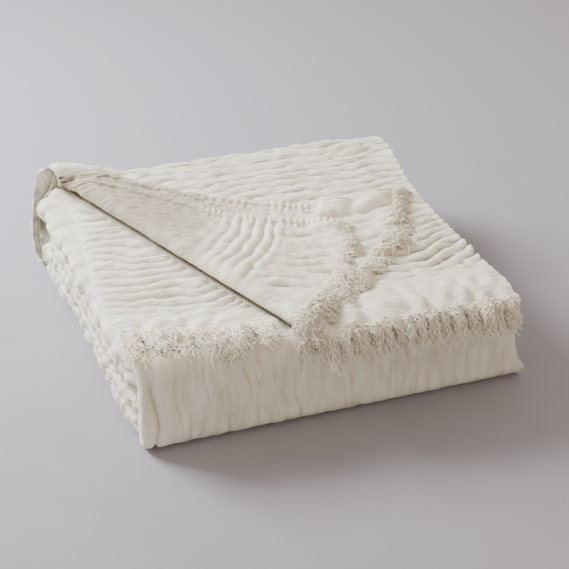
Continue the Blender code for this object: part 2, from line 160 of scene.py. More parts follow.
# Relief of the turned corner of each end layer. Its fine lines lie across the direction of LINES_ACROSS
RIDGE_HEIGHT = 0.0044
RIDGE_SHARE = {1: 0.25, 2: 1.0}
FOLD_HEIGHT = 0.0058
FOLD_PITCH = 0.0190
LINE_HEIGHT = 0.0013
LINE_PITCH = 0.0108
LINES_ACROSS = (0.317, 0.948)
TURNED_LUMP_HEIGHT = 0.0006
TURNED_CRINKLE_HEIGHT = 0.00045
CREASE_LUMP_HEIGHT = 0.0018
HEM_HEIGHT = 0.0022
HEM_STEP = 0.0032
HEM_PUCKER_HEIGHT = 0.0017
INNER_PUCKER_HEIGHT = 0.0012
PUCKERS_END = {1: 0.62, 2: 0.56}
FRAYED_HEIGHT = 0.0034
ROLLED_HEM_MIDDLE = 0.0150
ROLLED_HEM_HALF_WIDTH = 0.0180
RUFFLE_END = {1: 0.225, 2: 0.14}
RUFFLE_BASE = 0.0008
RUFFLE_HEIGHT = {1: 0.0108, 2: 0.0066}
LOBE_LENGTH = {1: 0.105, 2: 0.120}

# Relief of the outer sheet: on the third layer, and on the front
THIRD_RIB_HEIGHT = 0.0066
THIRD_CRINKLE_HEIGHT = 0.00065
THIRD_PUFF_HEIGHT = 0.0068
PRESSED_HEIGHT = -0.0012
FRONT_CRINKLE_HEIGHT = 0.00090
FRONT_WAVE_HEIGHT = 0.0005
FRONT_GROOVE_X = -0.1965
FRONT_GROOVE_WIDTH = 0.0022
FRONT_GROOVE_DEPTH = 0.0034
FRONT_WELT_HEIGHT = 0.0012

# Edges of the outer sheet: its curled left edge, its inset on the floor, its foot at the front right, and
# how its back left corner reaches out and is lifted
CURL_RADIUS = 0.0070
CURL_WIDTH = 0.017
FLOOR_EDGE_INSET = 0.0070
FRONT_FOOT_REACH = 0.0050
THIRD_CORNER_REACH = 0.0060
THIRD_CORNER_SHIFT = (-0.0040, 0.0045, 0.0050)

# Relief over which the painted shading goes from its darkest, in a trough, to its lightest, on a crest
PAINTED_SHADING_HEIGHT = 0.0052

# Puffed folds between the floor and the third layer. PUFF_LEFT gives y, and there the left edge x of the
# top, the middle and the lowest one
PUFF_THICKNESS = 0.0245
PUFF_HEIGHTS = (0.0970, 0.0708, 0.0446, 0.0184)
NOSE_DEPTH = 0.016
NOSE_STEPS = 12
PUFF_STEP = 0.0029
PUFF_PINCH = 0.30
PUFF_RELIEF = 0.0026
PUFF_FINE_RELIEF = 0.0008
PUFF_GROOVE_DEPTH = 0.0030
PUFF_CRUMPLE = 0.0007
PUFF_LEFT = (
    (-0.200, -0.2010, -0.2010, -0.2030),
    (-0.178, -0.2070, -0.2060, -0.2080),
    (-0.155, -0.2190, -0.2170, -0.2160),
    (-0.120, -0.2235, -0.2215, -0.2190),
    (-0.060, -0.2290, -0.2255, -0.2220),
    (0.000, -0.2330, -0.2290, -0.2250),
    (0.070, -0.2360, -0.2330, -0.2310),
    (0.115, -0.2390, -0.2380, -0.2370),
    (0.166, -0.2440, -0.2445, -0.2420),
    (0.206, -0.2480, -0.2480, -0.2450),
)

# Rows and columns of the grids. Columns crowd towards the hem and towards the right edge. END_COLUMNS are
# those of the turned part, of its roll and of the part that isn't turned
END_COLUMNS = {1: (66, 9, 72), 2: (78, 9, 20)}
FRONT_ROWS = 208
CORNER_ROWS = 22
CORNER_LENGTH = 0.030
LOOP_STEPS = (9, 15)
HEM_CROWDING = 1.45
EDGE_CROWDING = 1.25
FLOOR_ROWS = 15
THIRD_ROWS = 150
WRAP_COLUMNS = 186
CURL_COLUMNS = 12

# Fringe: threads for each metre of edge, their clumps, curls, length, droop and arch, and their roots
THREAD_RADIUS = 0.00066
THREAD_POINTS = 10
ROOT_STEP = 0.0015
CLUMP_PITCH = 0.0125
CLUMP_STRAY = 0.0016
ROOT_INSET = 0.010
THREAD_CURL = (0.0014, 0.0050)
FLAP_FRINGE = dict(per_metre=4050, length=0.031, droop=0.003, lift=0.011, raised=0.0016, hangs=False)
FRONT_FRINGE = dict(per_metre=8600, length=0.047, droop=0.000, lift=0.010, raised=0.0012, hangs=True)

# Row of fringe on the third layer: x of its right and left end, y and z
UNDER_ROW_X = (-0.0620, -0.2160)
UNDER_ROW_WIDTH = 0.1540
UNDER_ROW_Y = -0.1340
UNDER_ROW_REACH = 0.0360
UNDER_ROW_Z = THIRD_LAYER_Z + 0.0030
UNDER_ROW_POINTS = 60

# Finishes: darkest and lightest colour, and the shader's plain values
# Linen: its darkest colour is reached in painted shade and its lightest in painted light, with a random
# tone between
LINEN_COLOURS = ((0.60, 0.523, 0.385), (0.98, 0.937, 0.802))
# Painted shade: the dark colour that folds, grooves, hollows and troughs are painted with
LINEN_PAINTED_SHADE_COLOUR = (0.25, 0.205, 0.145, 1.0)
LINEN_CRINKLE = 1.35
LINEN_WEAVE = 0.30
LINEN_FINISH = {"Roughness": 0.94, "Sheen Weight": 0.18, "Sheen Roughness": 0.6, "Specular IOR Level": 0.2}
YARN_COLOURS = ((0.76, 0.690, 0.550), (0.98, 0.930, 0.815))
YARN_FINISH = {"Roughness": 0.95, "Sheen Weight": 0.15, "Specular IOR Level": 0.2}
# Floor: from the first colour towards the second by painted light, lighter towards the back, and by a
# random tone
FLOOR_COLOURS = ((0.306, 0.288, 0.324), (0.352, 0.334, 0.392))
FLOOR_FINISH = {"Roughness": 0.85}
FLOOR_SIZE = 6.0

# Camera from the photo's straight edges: angles in degrees, focal length and frame in pixels
CAMERA_AZIMUTH = -18.5
CAMERA_ELEVATION = 32.4
CAMERA_PLACE = (-0.417, -1.268, 0.898)
FOCAL_LENGTH_PIXELS = 1352.0
FRAME_PIXELS = 569.0
SENSOR_WIDTH = 36.0

# Light: name, place, size, power and colour of each lamp, and the sky
LAMPS = (
    ("key", (-1.05, 0.89, 1.12), 0.75, 81.0, (0.945, 0.968, 1.0)),
    ("fill", (-1.6, -1.6, 1.2), 2.2, 3.0, (1.0, 0.90, 0.80)),
)
LAMP_AIM = (0.0, 0.0, 0.05)
SKY = {"Color": (1.0, 0.87, 0.73, 1.0), "Strength": 0.87}


def clamp(t):
    """A value held between 0 and 1."""
    return np.clip(t, 0.0, 1.0)


def smooth(t):
    """Rises from 0 to 1 with level ends."""
    t = clamp(t)
    return t * t * (3.0 - 2.0 * t)


def ramp_up(value, start, length):
    """Rises from 0 where a value reaches start to 1 a length further on."""
    return smooth((value - start) / length)


def ramp_down(value, end, length):
    """Falls from 1 to 0 over the last length before a value reaches end."""
    return smooth((end - value) / length)


def near(distance, reach):
    """Falls from 1 at no distance to 0 at the given reach."""
    return smooth(1.0 - distance / reach)


def mix(a, b, t):
    """A value between a, at 0, and b, at 1."""
    return a + (b - a) * t


def bell(t):
    """1 at 0, falling smoothly to 0 at about 2."""
    return np.exp(-t * t)


def lumps(a, b, size, seed):
    """Smooth bumps at random over two coordinates, mostly between -1 and 1 and about size apart."""
    chance = random.Random(seed)
    wave_count = 9
    total = 0.0
    for _ in range(wave_count):
        turn = chance.uniform(0.0, 2.0 * math.pi)
        pace = 2.0 * math.pi / size * chance.uniform(0.6, 1.5)
        across = a * math.cos(turn) + b * math.sin(turn)
        total = total + np.sin(across * pace + chance.uniform(0.0, 6.28))
    return total * math.sqrt(2.0 / wave_count) / 1.6


def crests(phase):
    """Wide round crests with narrow troughs between them, one for each whole step of phase."""
    return np.sqrt(np.sin(math.pi * phase) ** 2 + 0.03) - 0.62


def through(table, place):
    """The values of a table at places in its first column, on a smooth curve through its rows."""
    rows = np.array(table)
    keys, values = rows[:, 0], rows[:, 1:]
    last = len(keys) - 1
    before = np.maximum(np.arange(last + 1) - 1, 0)
    after = np.minimum(np.arange(last + 1) + 1, last)
    slopes = (values[after] - values[before]) / (keys[after] - keys[before])[:, None]
    place = np.clip(place, keys[0], keys[-1])
    k = np.clip(np.searchsorted(keys, place, side="right") - 1, 0, last - 1)
    span = (keys[k + 1] - keys[k])[..., None]
    t = (place - keys[k])[..., None] / span
    return (
        (2 * t**3 - 3 * t**2 + 1) * values[k]
        + (t**3 - 2 * t**2 + t) * span * slopes[k]
        + (3 * t**2 - 2 * t**3) * values[k + 1]
        + (t**3 - t**2) * span * slopes[k + 1]
    )


def joined(*coordinates):
    """Points out of their coordinates, such as x, y and z."""
    return np.stack(np.broadcast_arrays(*coordinates), axis=-1)


def unit(vectors):
    """Vectors made one long."""
    return vectors / np.linalg.norm(vectors, axis=-1, keepdims=True)


def layer_z(layer):
    """Height of a layer, counted from the top one."""
    return THIRD_LAYER_Z + (3 - layer) * TOP_PITCH


def end_depth(layer):
    """How far an end layer reaches from its fringed end to the crease's start."""
    return CREASE_START_Y - END_Y[layer]


def side_edges(y, z, bulge=0.0):
    """x of the left and the right edge of the cloth at a place and height of the stack."""
    edges = through(SIDE_EDGES, y)
    depth = 1.0 - np.minimum(z / THIRD_LAYER_Z, 1.0)
    left = mix(edges[..., 0], edges[..., 1], depth) - bulge
    right = mix(edges[..., 2], edges[..., 3], depth**2) + bulge * 0.3
    return left, right


def rib_count(y):
    """How many ribs of the weave lie between the front edge and a place."""
    growth = (RIB_PITCH_BACK - RIB_PITCH_FRONT) / (BACK_Y - FRONT_Y)
    pitch = RIB_PITCH_FRONT + growth * (y - FRONT_Y)
    return np.log(np.maximum(pitch, 0.004) / RIB_PITCH_FRONT) / growth


def rib_rise(x, y):
    """How far the ribs of the top layer curve to the back at its front right."""
    return 5.0 * np.maximum(x - 0.120, 0.0) ** 2 * ramp_down(y, 0.02, 0.10)


def crease_x(y):
    """x of the crease that the corner is turned over."""
    bow = CREASE_BOW * np.sin(math.pi * (CREASE_START_Y - y) / end_depth(1))
    return CREASE_X_AT_START + (CREASE_START_Y - y) * CREASE_SLANT - bow


def corner_lift(x, y):
    """How far the back left corner of the two end layers stands up where it begins to roll."""
    rise = ramp_up(y, CORNER_LIFT_Y, CORNER_LIFT_FADE_Y) * ramp_down(x, CORNER_LIFT_X, CORNER_LIFT_FADE_X)
    return CORNER_LIFT * rise


def over_front_edge(points):
    """Bends what lies on the third layer down over the rounded front edge of the stack."""
    x, y, z = np.moveaxis(points, -1, 0)
    corner_y = FRONT_Y + FRONT_CORNER
    radius = FRONT_CORNER + z - THIRD_LAYER_Z
    past = np.maximum(corner_y - y, 0.0)
    angle = np.minimum(past / radius, math.pi / 2)
    hang = past - angle * radius
    bent_y = corner_y - radius * np.sin(angle)
    bent_z = THIRD_LAYER_Z - FRONT_CORNER + radius * np.cos(angle) - hang
    over = y < corner_y
    return joined(x, np.where(over, bent_y, y), np.where(over, bent_z, z))


def roll_radius(share):
    """Radius of the outer roll where it is closed, at a share of its length from the back."""
    return ROLL_RADIUS[2] + ROLL_SWELL * (1.0 - smooth(share / ROLL_SWELL_LENGTH))


def turned_part(layer, y, along):
    """Points of the turned part of an end layer, and how far each lies from the crease and from the hem.

    along is 0 at the crease, 1 where the roll ends and 2 at the hem. The last result is where each
    point would lie with the roll laid out flat.
    """
    share = np.maximum((CREASE_START_Y - y) / end_depth(layer), 0.0)
    axis_x = crease_x(y)
    lean = smooth(share / TURN_LENGTH)
    curl = np.maximum(smooth(share / ROLL_ONSET), LEAST_CURL)
    outer = roll_radius(share) / curl
    radius = outer - (ROLL_RADIUS[2] - ROLL_RADIUS[layer])
    half_turn = math.pi * radius
    hem = through(TURNED_HEM[layer], share)
    reach_x, reach_y = hem[..., 0] - axis_x, hem[..., 1] - y
    reach = np.hypot(reach_x, reach_y)
    first_width = axis_x - side_edges(y, layer_z(layer))[0]
    width = mix(first_width, half_turn + reach, lean**2)
    rolled = np.minimum(half_turn, ROLL_SHARE_AT_START * width)
    place = np.where(along <= 1.0, rolled * along, mix(rolled, width, along - 1.0))
    angle = np.minimum(place / radius, math.pi)
    out_x, out_y = mix(-1.0, CREASE_OUTWARD[0], lean), mix(0.0, CREASE_OUTWARD[1], lean)
    out_length = np.hypot(out_x, out_y)
    settled = ramp_up(share, TURN_LENGTH, TURN_LENGTH)
    head_x = mix(TURNED_ROW[0], reach_x / reach, settled)
    head_y = mix(TURNED_ROW[1], reach_y / reach, settled)
    head_length = np.hypot(head_x, head_y)
    step = np.maximum(place - half_turn, 0.0)
    bow = FRINGE_EDGE_BOW[layer] * ramp_up(share, BOW_START, 1.0 - BOW_START)
    bow = np.where(step > 0.0, bow * np.sin(math.pi * (along - 1.0)), 0.0)
    sideways = radius * np.sin(angle)
    x = axis_x + out_x / out_length * sideways + head_x / head_length * step + BOW_DIRECTION[0] * bow
    y_turned = y + out_y / out_length * sideways + head_y / head_length * step + BOW_DIRECTION[1] * bow
    sink = TURNED_SINK[layer] * smooth(step / TURNED_SINK_REACH)
    z = layer_z(layer) + corner_lift(axis_x, y) + radius * (1.0 - np.cos(angle)) - sink
    laid = place - half_turn
    laid_out = joined(axis_x + head_x / head_length * laid, y + head_y / head_length * laid)
    return joined(x, y_turned, z), place, width - place, laid_out


def turn_section(side, nest, z_top, z_bottom, steps, wall_steps):
    """Section of a turn from its upper layer to its lower one: y, z and the share of its height."""
    edge_y = (BACK_Y if side > 0 else FRONT_Y) - side * NEST_GAP * nest
    radius = (BACK_CORNER if side > 0 else FRONT_CORNER) - CORNER_STEP * nest
    angles = np.linspace(0.0, math.pi / 2, steps + 1)
    y = edge_y - side * radius * (1.0 - np.sin(angles))
    fall = radius * (1.0 - np.cos(angles))
    wall = np.linspace(z_top - radius, z_bottom + radius, wall_steps + 1)[1:-1]
    section_y = np.concatenate((y, np.full(len(wall), edge_y), y[::-1]))
    section_z = np.concatenate((z_top - fall, wall, (z_bottom + fall)[::-1]))
    rise = (z_top - section_z) / (z_top - z_bottom)
    bulge = BACK_BULGE if side > 0 else FRONT_BULGE
    bulge_share = 1.0 if nest == 0 else INNER_BULGE_SHARE
    return section_y + side * bulge * bulge_share * np.sin(math.pi * rise), section_z, rise


def normals_of(points):
    """Unit normals of a grid of points, up where columns run to the right and rows to the back."""
    across = np.gradient(points, axis=1)
    along = np.gradient(points, axis=0)
    normal = np.cross(across, along)
    return normal / np.maximum(np.linalg.norm(normal, axis=-1, keepdims=True), 1e-12)


def flat_places(points):
    """Where each point of a grid lies in the flat cloth, in metres: across it and along it."""
    across = np.linalg.norm(np.diff(points, axis=1), axis=-1)
    along = np.linalg.norm(np.diff(points, axis=0), axis=-1)
    u = np.concatenate((np.zeros((len(points), 1)), np.cumsum(across, axis=1)), axis=1)
    middle = np.median(along, axis=1)
    v = np.concatenate(([0.0], np.cumsum(middle)))[:, None] + np.zeros(points.shape[:2])
    return u, v


def grid_mesh(name, columns, rows, size):
    """A plain square grid as a mesh."""
    bm = bmesh.new()
    bmesh.ops.create_grid(bm, x_segments=columns, y_segments=rows, size=size)
    mesh = bpy.data.meshes.new(name)
    bm.to_mesh(mesh)
    bm.free()
    return mesh


def add_object(name, data):
    """An object in the scene, at its origin."""
    thing = bpy.data.objects.new(name, data)
    bpy.context.scene.collection.objects.link(thing)
    return thing


def add_smooth_piece(name, mesh):
    """A piece whose faces are shaded smoothly."""
    mesh.polygons.foreach_set("use_smooth", np.ones(len(mesh.polygons), dtype=bool))
    return add_object(name, mesh)


def close_seams(mesh):
    """Joins the meeting edges of a rolled-up grid, with its faces outwards."""
    bm = bmesh.new()
    bm.from_mesh(mesh)
    bmesh.ops.remove_doubles(bm, verts=bm.verts[:], dist=1e-7)
    bmesh.ops.recalc_face_normals(bm, faces=bm.faces[:])
    bm.to_mesh(mesh)
    bm.free()


def give_thickness(piece, hems):
    """Makes the cloth as thick as it is, with thicker hems where their shares are given."""
    wall = piece.modifiers.new("thickness", "SOLIDIFY")
    wall.offset = 0.0
    wall.thickness = CLOTH_THICKNESS
    if hems is not None:
        shares = hems.reshape(-1)
        group = piece.vertex_groups.new(name="hem")
        for index in np.flatnonzero(shares > 0.01):
            group.add([int(index)], float(shares[index]), "REPLACE")
        wall.thickness = HEM_THICKNESS
        wall.vertex_group = "hem"
        wall.thickness_vertex_group = CLOTH_THICKNESS / HEM_THICKNESS


def add_sheet(name, points, u, v, hems=None, closed=False, upright=None, crest=None, painted_shade=None):
    """A piece of cloth: a grid whose points are moved to the given places, with a flat map in metres.

    For its finish each point also says whether its crinkles stand upright, how much painted light
    its crests get and painted shade its troughs, and how much painted shade it gets deep in a fold.
    """
    mesh = grid_mesh(name, points.shape[1] - 1, points.shape[0] - 1, 0.5)
    mesh.vertices.foreach_set("co", (points - MIDDLE).reshape(-1))
    corner_vertex = np.empty(len(mesh.loops), dtype=np.int32)
    mesh.loops.foreach_get("vertex_index", corner_vertex)
    flat = joined(u.reshape(-1), v.reshape(-1))
    flat_map = mesh.uv_layers.new(name="flat cloth")
    flat_map.data.foreach_set("uv", flat[corner_vertex].reshape(-1))
    finish = (("upright", upright, 0.0), ("crest", crest, 0.5), ("painted_shade", painted_shade, 0.0))
    for label, values, plain_value in finish:
        point_values = mesh.attributes.new(label, "FLOAT", "POINT")
        values = np.full(u.shape, plain_value) if values is None else clamp(values)
        point_values.data.foreach_set("value", values.reshape(-1))
    if closed:
        close_seams(mesh)
    piece = add_smooth_piece(name, mesh)
    if not closed:
        give_thickness(piece, hems)
    return piece


def end_layer(layer):
    """One of the two end layers with its turned corner and its turn at the back, as a grid.

    Returns the points before relief, and for each the distance from the crease, from the hem and
    from the fringed end, how far it is turned over, and its place along the sheet in ribs.
    """
    turned_columns, roll_columns, plain_columns = END_COLUMNS[layer]
    t = np.linspace(0.0, 1.0, turned_columns + 1)
    turned = 2.0 - t**HEM_CROWDING
    roll = np.linspace(1.0, 0.0, roll_columns + 1)[1:]
    plain = -(1.0 - (1.0 - np.linspace(0.0, 1.0, plain_columns + 1)[1:]) ** EDGE_CROWDING)
    place = np.concatenate((turned, roll, plain))[None, :]
    front = np.linspace(END_Y[layer], CREASE_START_Y - CORNER_LENGTH, FRONT_ROWS)
    corner = np.linspace(CREASE_START_Y - CORNER_LENGTH, CREASE_START_Y, CORNER_ROWS + 1)[1:]
    y = np.concatenate((front, corner))[:, None]
    folded, from_crease, from_hem, laid_out = turned_part(layer, y, np.maximum(place, 0.0))
    z = layer_z(layer)
    right = side_edges(y, z)[1]
    x = mix(crease_x(y), right, np.maximum(-place, 0.0))
    flat = joined(x, y, z + corner_lift(x, y))
    top = np.where((place > 0.0)[..., None], folded, flat)
    over = np.where(place >= 1.0, 1.0, np.where(place > 0.0, place, 0.0)) + 0.0 * y
    from_crease = np.where(place > 0.0, from_crease, x - crease_x(y))
    from_hem = np.where(place > 0.0, from_hem, 1.0)
    across = np.where(place > 0.0, from_crease / (from_crease + from_hem), 0.0)

    left_end, right_end = side_edges(CREASE_START_Y, THIRD_LAYER_Z)
    crowded = (top[-1, :, 0] - left_end) / (right_end - left_end)
    even = np.linspace(0.0, 1.0, place.shape[1])
    turn_y, turn_z, rise = turn_section(1.0, layer - 1, z, LOOP_BOTTOM[layer], *LOOP_STEPS)
    back = np.linspace(CREASE_START_Y, turn_y[0], 8)[1:-1]
    rest_y = np.concatenate((back, turn_y))[:, None]
    rest_z = np.concatenate((np.full(len(back), z), turn_z))[:, None]
    rise = np.concatenate((np.zeros(len(back)), rise))[:, None]
    shares = mix(even[None, :], crowded[None, :], ramp_up(rest_z / layer_z(1), 0.20, 0.75))
    bulge = LOOP_BULGE[layer] * np.maximum(np.sin(math.pi * rise), 0.0) ** 0.42
    if layer == 2:
        bulge *= ramp_up(rise, 0.14, 0.24)
    rest_left, rest_right = side_edges(rest_y, rest_z, bulge)
    rest_x = mix(rest_left, rest_right, shares)
    lift = corner_lift(rest_x, rest_y) * ramp_up(rest_z, 0.05, 0.06)
    room = LOOP_ROOM * ramp_down(rest_x, -0.14, 0.06) * ramp_up(rest_y, CREASE_START_Y, 0.012)
    rest = joined(rest_x, rest_y + room * smooth(rest_z / 0.04), rest_z + lift)
    walked = walk_of(rest_y, rest_z)

    def whole(on_top, behind):
        """Values on top of the stack and behind it, as one grid."""
        return np.concatenate((on_top + 0.0 * x, behind + 0.0 * rest_x), axis=0)

    ribs = rib_count(y - np.where(place > 0.0, 0.0, rib_rise(x, y)))
    facts = SimpleNamespace(
        across=whole(across, 0.0),
        from_crease=whole(from_crease, 1.0),
        from_hem=whole(from_hem, rest_x - rest_left),
        from_right=whole(right - top[..., 0], rest_right - rest_x),
        from_end=whole(y - END_Y[layer], rest_y[:1] - END_Y[layer] + walked),
        over=whole(over, 0.0),
        ribs=whole(ribs, rib_count(rest_y[:1]) + walked / RIB_PITCH_BACK),
        laid_out=np.concatenate((laid_out, rest[..., :2]), axis=0),
    )
    facts.not_turned = facts.over < 0.01
    return np.concatenate((top, rest), axis=0), facts


def walk_of(y, z):
    """Distance walked along a section, as a column."""
    steps = np.hypot(np.diff(y[:, 0]), np.diff(z[:, 0]))
    return np.concatenate(([0.0], np.cumsum(steps)))[:, None]


def pucker(ribs, across):
    """Small even puckers along a hem."""
    wander = 0.8 * np.sin(ribs * 1.7 + across * 9.0)
    return np.sin(2.0 * math.pi * (ribs * RIB_PITCH_BACK * 0.8 / PUCKER_PITCH) + wander)


def end_puff(x, y, from_end):
    """Swollen lobes of the cloth along a fringed end. Painted light makes them lighter than the rest of the
    cloth.
    """
    along = x / END_PUFF_PITCH + 0.30 * lumps(x, y * 0.5, 0.07, 26)
    lobes = 0.72 + 0.62 * crests(along) + 0.30 * lumps(x, y, 0.030, 29)
    return bell((from_end - END_PUFF_MIDDLE) / END_PUFF_WIDTH) * np.clip(lobes, 0.05, 1.4)


def relief_of_plain_part(x, y, facts):
    """Ribs, fine crinkle and end puffs of an end layer where it isn't turned over."""
    ribs, from_end = facts.ribs, facts.from_end
    stray = 0.30 * lumps(x, y, 0.11, 21) + 0.10 * lumps(x, y, 0.035, 22)
    curved = ramp_up(x, 0.09, 0.06) * ramp_down(y, 0.03, 0.08)
    strength = 0.62 + 0.30 * lumps(x, y, 0.075, 23) + 0.35 * curved + 0.5 * ramp_down(x, -0.19, 0.03)
    by_right_edge = near(facts.from_right, 0.035)
    strength = strength * (1.0 - 0.45 * by_right_edge) + 0.22 * ramp_up(y, 0.03, 0.10)
    broken = 1.0 + 0.38 * lumps(x, y * 0.3, 0.020, 24)
    height = ramp_up(from_end, 0.045, 0.030) * TOP_RIB_HEIGHT * strength * broken * crests(ribs + stray)
    height += TOP_CRINKLE_HEIGHT * lumps(x * 0.22, y, 0.0062, 25)
    scallops = crests(ribs * 3.0 + 0.2 * lumps(x, y, 0.03, 27))
    height += SCALLOP_HEIGHT * ramp_down(x, -0.196, 0.014) * scallops
    pleats = ramp_down(facts.from_hem, 0.034, 0.012) * ramp_up(y, CREASE_START_Y, 0.010)
    pleats *= crests(facts.from_hem / PLEAT_PITCH + 0.2 * lumps(x, y, 0.03, 28))
    return height + PLEAT_HEIGHT * pleats + TOP_PUFF_HEIGHT * end_puff(x, y, from_end)


def level_places(facts):
    """Places on a turned part with its roll laid out flat: along its fine lines and across them."""
    x, y = facts.laid_out[..., 0], facts.laid_out[..., 1]
    return LINES_ACROSS[0] * y - LINES_ACROSS[1] * x, LINES_ACROSS[0] * x + LINES_ACROSS[1] * y


def relief_of_turned_part(layer, facts):
    """Ridges, folds, hem and ruffles of the part that is turned over, seen from its upper side."""
    x, y = facts.laid_out[..., 0], facts.laid_out[..., 1]
    ribs, from_crease, from_hem = facts.ribs, facts.from_crease, facts.from_hem
    from_front = clamp(facts.from_end / end_depth(layer))
    ridges = ramp_up(from_front, 0.18, 0.07) * ramp_down(from_front, 0.50, 0.18) * RIDGE_SHARE[layer]
    bow = 0.30 * np.sin(math.pi * facts.across)
    ridge_height = RIDGE_HEIGHT * ridges * smooth(from_crease / 0.05) * smooth(from_hem / 0.012)
    face = ridge_height * (crests(ribs * 1.10 - bow + 0.10 * lumps(x, y, 0.05, 38)) + 0.35)
    level = level_places(facts)[1]
    folds = ramp_down(from_front, 0.27, 0.07) * smooth(from_hem / 0.02) * ramp_up(from_crease, 0.030, 0.020)
    fold_height = FOLD_HEIGHT * np.clip(0.60 + 0.75 * lumps(x, y, 0.050, 33), 0.0, 1.4)
    face += folds * fold_height * crests(level / FOLD_PITCH + 0.30 * lumps(x * 0.5, y, 0.06, 32))
    lines = ramp_up(from_front, 0.38, 0.12) * smooth(from_crease / 0.02)
    face += LINE_HEIGHT * lines * crests(level / LINE_PITCH + 0.25 * lumps(x * 0.6, y, 0.05, 34))
    face += TURNED_LUMP_HEIGHT * lumps(x, y, 0.030, 35)
    face += TURNED_CRINKLE_HEIGHT * lumps(x * 0.4, y, 0.0070, 36)
    face += CREASE_LUMP_HEIGHT * bell(from_crease / 0.030) * lumps(0.0, facts.from_end, 0.034, 40)

    wave = pucker(ribs, x)
    regular = ramp_down(from_front, PUCKERS_END[layer], 0.12) * (0.8 + 0.5 * lumps(x, y, 0.04, 39))
    band = np.sin(math.pi * clamp(from_hem / HEM_WIDTH)) ** 0.7
    if layer == 1:
        regular *= ramp_up(from_front, 0.18, 0.06)
    hem = band * (HEM_HEIGHT + HEM_PUCKER_HEIGHT * regular * wave)
    hem -= HEM_STEP * bell((from_hem - HEM_WIDTH) / 0.0013)
    if layer == 1:
        hem -= 0.5 * HEM_STEP * bell((from_hem - 2.1 * HEM_WIDTH) / 0.0011)
    face += ramp_down(from_front, 0.97, 0.07) * hem
    inside = ramp_up(from_hem, HEM_WIDTH, 0.004) * ramp_down(from_hem, 0.021, 0.010)
    face += INNER_PUCKER_HEIGHT * regular * inside * (wave + 0.4)
    frayed = bell((facts.from_end - 0.014) / 0.016) * (0.5 + 0.8 * lumps(from_hem, 0.0, 0.024, 37))
    face += FRAYED_HEIGHT * frayed * smooth(from_hem / 0.02)

    from_middle = (from_hem - ROLLED_HEM_MIDDLE) / ROLLED_HEM_HALF_WIDTH
    rolled = np.sqrt(clamp(1.0 - from_middle**2))
    lobe = (np.sin(math.pi * (from_front - 0.010) / LOBE_LENGTH[layer]) ** 2 + 0.04) ** 0.35
    ruffle = ramp_down(from_front, RUFFLE_END[layer], 0.03) * smooth(from_front / 0.03) * rolled
    return face + ruffle * (RUFFLE_BASE + RUFFLE_HEIGHT[layer] * lobe)


def relief_of_end_layer(layer, points, facts):
    """Height over an end layer along its normal. A turned part has its other side up."""
    over = facts.over
    plain = smooth(1.0 - over * 3.0) * smooth(np.abs(facts.from_crease) / 0.018)
    on_plain_part = plain * relief_of_plain_part(points[..., 0], points[..., 1], facts)
    return on_plain_part - smooth(over) * relief_of_turned_part(layer, facts)


def painted_shading_of_end_layer(layer, points, relief, facts):
    """Painted light on the crests and painted shade in the troughs of each place, and painted shade in
    folds, grooves and hollows.
    """
    y, z = points[..., 1], points[..., 2]
    over = ramp_up(facts.over, 0.15, 0.35)
    far = facts.from_end / end_depth(layer)
    # Painted light on the crests of the relief and painted shade in its troughs
    crest = 0.5 + np.where(facts.over > 0.5, -relief, relief) / PAINTED_SHADING_HEIGHT
    trough = ramp_down(crest, 0.60, 0.55)
    # Painted shade over the turned part, darker further from the fringed end
    crest = crest - over * (0.25 + 0.40 * ramp_up(far, 0.30, 0.30))
    # Painted light near the fringed end, on its lobes, and towards the back
    lit = 0.6 * bell((facts.from_end - 0.012) / 0.024) + 0.25 * ramp_up(y, 0.04, 0.12)
    crest = crest + (1.0 - over) * lit
    # Painted shade along the hem's stitch groove on the turned part
    painted_seam_shade = bell((facts.from_hem - HEM_WIDTH) / 0.0010) * over * ramp_down(far, 0.97, 0.07)
    painted_shade = painted_seam_shade * (0.50 if layer == 1 else 0.45 * ramp_down(far, 0.45, 0.2))
    # Painted shade in the hollow inside the lower end layer's turn at the back
    if layer == 2:
        hollow = ramp_up(z, 0.040, 0.020) * ramp_down(z, 0.103, 0.012) * (y > CREASE_START_Y)
        painted_shade = np.maximum(painted_shade, hollow)
    # Painted shade over the turned part, further from the fringed end
    painted_shade = np.maximum(painted_shade, 0.52 * over * ramp_up(far, 0.35, 0.25))
    # Painted shade in the troughs, less on the turned part
    return crest, np.maximum(painted_shade, (0.56 - 0.18 * over) * trough)


def hem_shares(facts):
    """How far each point belongs to a hem: 1 on the very edge of the cloth."""
    left = near(facts.from_hem, 0.005)
    right = near(facts.from_right, 0.006) * facts.not_turned
    return np.maximum(left, right)


